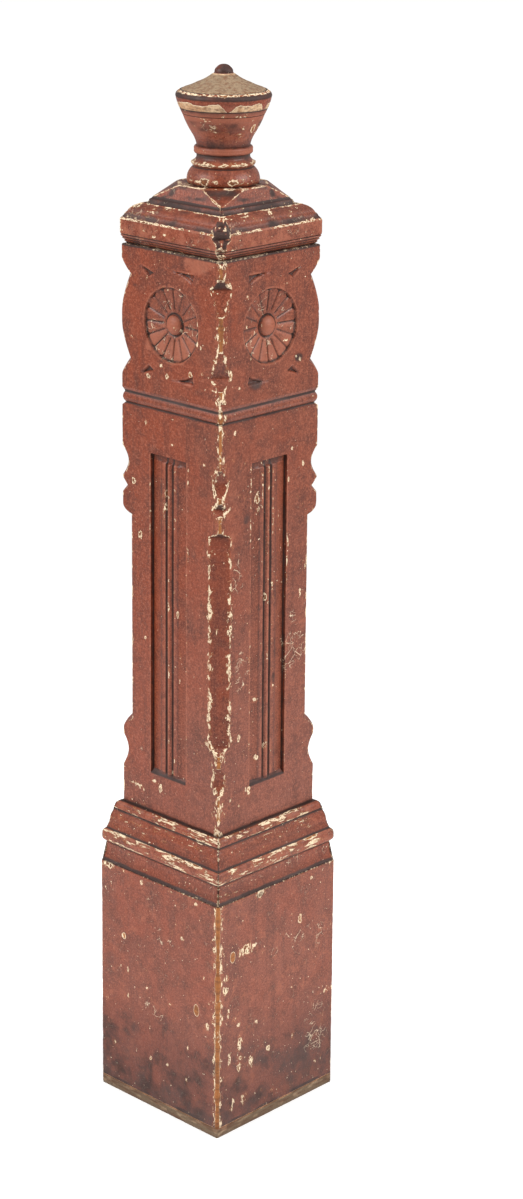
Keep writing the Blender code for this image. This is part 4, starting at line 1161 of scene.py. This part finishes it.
class NEWEL_OT_base_moulding(bpy.types.Operator):
    """Runs the four mitred lengths of base moulding"""

    bl_idname = "newel.base_moulding"
    bl_label = "Base moulding"

    def execute(self, context):
        sizes = measures(context)
        inside, outside = sizes.half + sizes.gap, PLINTH_HIGH[0]
        foot, top = MOULDING_LOW[2], MOULDING_HIGH[2]
        tall = top - foot
        lip_foot, lip_top, bead = foot + tall * 0.32, foot + tall * 0.53, foot + tall * 0.87
        # half width and height in mm, then wear, grime with painted shade in the quirks, under the lips and
        # against the post, and bareness
        profile = follow(
            (inside, foot, 0, 0.8, 0),
            (outside - 1, foot, 0.2, 0.9, 0),
            (outside - 0.6, foot + 0.4, 0.2, 1.1, 0),
            (outside - 1.2, foot + 2.4, 0.1, 0.9, 0),
            (outside - 2.2, foot + 5, 0.1, 0.25, 0),
            (inside + 15.6, lip_foot - 3, 0.1, 0.1, 0, 0.6),
            (inside + 15, lip_foot - 1, 0, 0.7, 0),
            (inside + 15.2, lip_foot - 0.3, 0, 1, 0),
            (outside - 3, lip_foot + 0.6, 0.5, 0.3, 0),
            (outside - 1.6, lip_foot + 2.2, 0.78, 0, 0),
            (outside - 0.5, lip_foot + 6, 0.62, 0, 0.15, -0.3),
            (outside - 0.8, lip_top - 3.6, 0.6, 0, 0.15, -0.2),
            (outside - 2, lip_top - 1.2, 0.9, 0, 0.1, -0.2),
            (outside - 3.2, lip_top, 0.9, 0, 0.1),
            (outside - 3.9, lip_top + 0.3, 0.2, 0.9, 0),
            (outside - 4.3, lip_top + 1, 0.1, 1, 0),
            (outside - 5, lip_top + 3.4, 0.2, 0.3, 0),
            (inside + 12.6, lip_top + 13.5, 0.3, 0.1, 0, 0.4),
            (inside + 9.6, bead - 3, 0.4, 0.2, 0, -0.4),
            (inside + 9.1, bead - 0.8, 0.3, 0.7, 0),
            (inside + 8.2, bead, 0, 1, 0),
            (inside + 8.8, bead + 1.2, 0.8, 0.2, 0),
            (inside + 8.2, bead + 3.2, 0.55, 0, 0.1, -0.4),
            (inside + 6.2, top - 1.9, 0.62, 0, 0.1, -0.5),
            (inside + 5, top - 1, 0.88, 0, 0.1),
            (inside + 3.4, top - 0.2, 0.5, 0.6, 0),
            (inside + 2, top, 0, 1.1, 0),
            (inside, top, 0, 1.1, 0),
        )
        profile = respace(profile, 1.5)
        half, level, wear, grime_and_shade, bare = profile[::-1].T
        ends = np.array([0.0, 0.004, 0.009])
        along = np.concatenate([-1.0 + ends, np.linspace(-0.985, 0.985, 111), 1.0 - ends[::-1]])
        s, half = np.meshgrid(along, half, indexing="ij")
        u, z = s * (half - sizes.gap), np.broadcast_to(level, half.shape)
        from_end = np.minimum(1.0 - s, 1.0 + s) * half
        outer = half > inside + 2
        material = layers("Moulding paint", 8.0, flow=(0.26, 0.26, 1.25), brush=(8.0, 8.0, 90.0), flecks=0.01)
        for side, name in enumerate(SIDES):
            shifted = z + FACE_SHIFT * side
            nick = np.maximum(0.0, patchy(u, shifted, 5, 61 + side) - 0.25) * 1.7 * wear
            round_end = 1.1 * near(from_end, 1.4) * outer
            out = half - nick - round_end - 0.04 * (1.0 + patchy(u, z, 25, 65))
            points = np.stack([u, -np.maximum(out, inside), z], axis=-1)
            worn_lips = wear * ((0.80 if side == 1 else 0.88) + 0.35 * patchy(u, shifted, 30, 66))
            marks = {
                "wear": most(worn_lips, 0.8 * near(from_end, 2.5) * outer),
                "grime_and_shade": most(grime_and_shade, 0.8 * near(from_end, 1.6)),
                "bare": bare * (0.9 + 1.6 * near(from_end, 10)),
                "rub_and_highlight": 0.4 * wear,
                "scratch": 0.5 * ease(patchy(u, shifted, 40, 67), 0.2, 0.5),
                "tint": 0.75 if side == 1 else 0.35,
            }
            piece = shell_object("base_moulding_skin_" + name, points, marks, material, side)
            dress(piece, "moulding_paint", "base_moulding_" + name)
        return {"FINISHED"}


class NEWEL_OT_plinth(bpy.types.Operator):
    """Makes the four mitred plinth boards, bare along the foot"""

    bl_idname = "newel.plinth"
    bl_label = "Plinth boards"

    def execute(self, context):
        sizes = measures(context)
        inside, outside = sizes.half + sizes.gap, PLINTH_HIGH[0]
        top = PLINTH_HIGH[2]
        z = np.concatenate([
            [0.0, 0.5, 1.2, 2.5],
            np.arange(4.5, top - 4, 2.2),
            top - np.array([2.5, 1.0, 0.4, 0.0]),
        ])
        ends = np.array([0.0, 0.5, 1.1, 2.0, 3.2]) / outside
        outer = np.concatenate([-1.0 + ends, np.linspace(-0.955, 0.955, 91), 1.0 - ends[::-1]])
        s = np.concatenate([outer * (outside - sizes.gap), np.linspace(1.0, -1.0, 9) * (inside - sizes.gap)])
        is_outer = np.arange(len(s)) < len(outer)
        u, height = np.meshgrid(s, z)
        from_end = (outside - sizes.gap) - np.abs(u)
        rim = 0.9 * (near(height, 1.0) + 0.5 * near(top - height, 0.6)) * is_outer
        width = (4.4 + 1.9 * wander(z, 11, 83))[:, None]
        strip = ease(from_end, width + 1.0, width - 1.0) * is_outer
        strip = strip * (0.68 + 0.10 * wander(z, 23, 81)[:, None])
        # Painted shadow under the base moulding's lip; below, darker at the very foot, dirt over the bare
        # foot and a dark line where the paint stops
        foot_dirt_and_shade = most(
            0.8 * near(top - height, 0.8), 1.25 * near(height, 3.8),
            ease(height, 15, 12) * (0.75 + 0.80 * patchy(u, height * 4.0, 9, 84)),
            0.85 * near(height - 15, 2.5) * (1.0 + patchy(u, height, 22, 82)),
        )
        material = layers("Plinth paint", 10.0, grain=(0.12, 0.12, 1.2), flecks=0.006)
        for side, name in enumerate(SIDES):
            shifted = height + FACE_SHIFT * side
            right, left = (worn(z, seed + side, 1.0, 1.2)[:, None] for seed in (90, 95))
            back = (0.6 + 0.5 * np.where(u > 0.0, right, left)) * near(from_end, 0.9) * is_outer
            dents = np.maximum(0.0, patchy(u, shifted, 14, 71) - 0.6) * 0.8
            rough = (dents + unevenness(side, u, height, 73)) * is_outer
            out = np.where(is_outer, outside, inside) - back - rim - rough
            points = np.stack([u, -out, height], axis=-1)
            at_front = (u > 0.0) if side == 0 else (u < 0.0) * (side == 1)
            wear = near(from_end - np.where(at_front, 5.0, 0.0), np.where(at_front, 4.4, 2.2))
            wear = wear * np.where(at_front, 0.64 + 0.16 * wander(z, 13, 85)[:, None], 0.68)
            # Darker towards the bottom of the board
            darker_below = ease(height, 215, 35) * (0.54 + 0.12 * patchy(u, shifted, 24, 86))
            marks = {
                "wear": most(wear, 0.55 * near(top - height, 1.8)) * is_outer,
                "grime_and_shade": most(foot_dirt_and_shade, darker_below),
                "bare": most(1.2 * ease(height, 14.5, 11.5), at_front * strip),
                "rub_and_highlight": 0.30,
                "scratch": 0.15,
                "tint": 0.85 if side == 1 else 0.45,
            }
            for label, table in PLINTH_MARKS.items() if side < 2 else ():
                marks[label] = most(marks[label], is_outer * hand_marks(label, u, height, table[side]))
            piece = shell_object("plinth_board_skin_" + name, points, marks, material, side)
            dress(piece, "plinth_paint", "plinth_board_" + name)
        return {"FINISHED"}


class NEWEL_OT_stage(bpy.types.Operator):
    """Lays the pale floor and sets the soft lights and the camera"""

    bl_idname = "newel.stage"
    bl_label = "Floor, lights and camera"

    def execute(self, context):
        scene = context.scene
        stage = scene.newel_stage
        reach = 1.6
        mesh = bpy.data.meshes.new("floor")
        corners = [(x * reach, y * reach, 0.0) for x, y in ((-1, -1), (1, -1), (1, 1), (-1, 1))]
        mesh.from_pydata(corners, [], [(0, 1, 2, 3)])
        floor = bpy.data.objects.new("floor", mesh)
        scene.collection.objects.link(floor)
        white = bpy.data.materials.new("Floor white")
        white.use_nodes = True
        shader = white.node_tree.nodes["Principled BSDF"]
        shader.inputs["Base Color"].default_value = (*scene.newel_colours.floor, 1.0)
        shader.inputs["Roughness"].default_value = 0.9
        shader.inputs["Specular IOR Level"].default_value = 0.1
        shader.inputs["Emission Color"].default_value = (1.0, 1.0, 1.0, 1.0)
        shader.inputs["Emission Strength"].default_value = stage.floor_glow
        mesh.materials.append(white)

        world = bpy.data.worlds.new("White room")
        world.use_nodes = True
        room = world.node_tree
        ray = room.nodes.new("ShaderNodeLightPath")
        strength = room.nodes.new("ShaderNodeMapRange")
        strength.inputs["To Min"].default_value = stage.sky
        strength.inputs["To Max"].default_value = stage.backdrop
        room.links.new(ray.outputs["Is Camera Ray"], strength.inputs["Value"])
        room.nodes["Background"].inputs["Color"].default_value = (1.0, 1.0, 1.0, 1.0)
        room.links.new(strength.outputs["Result"], room.nodes["Background"].inputs["Strength"])
        scene.world = world

        def beside(angle, distance, height):
            turned = stage.azimuth + angle
            return (distance * math.sin(turned), -distance * math.cos(turned), height)

        for name, place, width, power in (
            ("Left softbox", beside(-stage.spread, 3.0, 2.6), 1.3, stage.left_power),
            ("Right softbox", beside(stage.spread, 3.0, 2.4), 1.3, stage.right_power),
            ("Top softbox", beside(0.0, 0.6, 3.8), 1.6, stage.top_power),
        ):
            lamp = bpy.data.lights.new(name, "AREA")
            lamp.size = width
            lamp.energy = power
            box = bpy.data.objects.new(name, lamp)
            box.location = place
            towards = Vector((0.0, 0.0, 0.7)) - Vector(place)
            box.rotation_euler = towards.to_track_quat("-Z", "Y").to_euler()
            scene.collection.objects.link(box)

        lens = bpy.data.cameras.new("Camera")
        lens.lens = stage.lens
        lens.sensor_width = 36.0
        lens.shift_y = stage.shift
        camera = bpy.data.objects.new("Camera", lens)
        scene.collection.objects.link(camera)
        look = stage.azimuth + stage.pan
        level = math.cos(stage.pitch)
        ahead = Vector((-math.sin(look) * level, math.cos(look) * level, -math.sin(stage.pitch)))
        right = ahead.cross(Vector((0.0, 0.0, 1.0))).normalized()
        up = right.cross(ahead)
        turned = right * math.cos(stage.roll) + up * math.sin(stage.roll)
        up = turned.cross(ahead)
        camera.matrix_world = Matrix((turned, up, -ahead)).transposed().to_4x4()
        camera.location = beside(0.0, stage.distance, stage.height)
        scene.camera = camera
        scene.view_settings.view_transform = "Standard"
        return {"FINISHED"}


OPERATORS = (
    NEWEL_OT_carved_block,
    NEWEL_OT_panelled_shaft,
    NEWEL_OT_cap,
    NEWEL_OT_finial,
    NEWEL_OT_base_moulding,
    NEWEL_OT_plinth,
    NEWEL_OT_stage,
)


class NEWEL_PT_post(bpy.types.Panel):
    """Sizes, colours and steps of the newel post"""

    bl_label = "Newel post"
    bl_idname = "NEWEL_PT_post"
    bl_space_type = "VIEW_3D"
    bl_region_type = "UI"
    bl_category = "Newel post"

    def draw(self, context):
        scene = context.scene
        for group in (scene.newel_sizes, scene.newel_colours, scene.newel_stage):
            box = self.layout.box()
            for label in group.bl_rna.properties.keys():
                if label not in {"rna_type", "name"}:
                    box.prop(group, label)
        for operator in OPERATORS:
            self.layout.operator(operator.bl_idname)


CLASSES = (NewelSizes, NewelColours, NewelStage, *OPERATORS, NEWEL_PT_post)


def register():
    for cls in CLASSES:
        bpy.utils.register_class(cls)
    bpy.types.Scene.newel_sizes = PointerProperty(type=NewelSizes)
    bpy.types.Scene.newel_colours = PointerProperty(type=NewelColours)
    bpy.types.Scene.newel_stage = PointerProperty(type=NewelStage)


def unregister():
    del bpy.types.Scene.newel_stage
    del bpy.types.Scene.newel_colours
    del bpy.types.Scene.newel_sizes
    for cls in reversed(CLASSES):
        bpy.utils.unregister_class(cls)


def main():
    register()
    for operator in OPERATORS:
        family, label = operator.bl_idname.split(".")
        getattr(getattr(bpy.ops, family), label)()


if __name__ == "__main__":
    main()
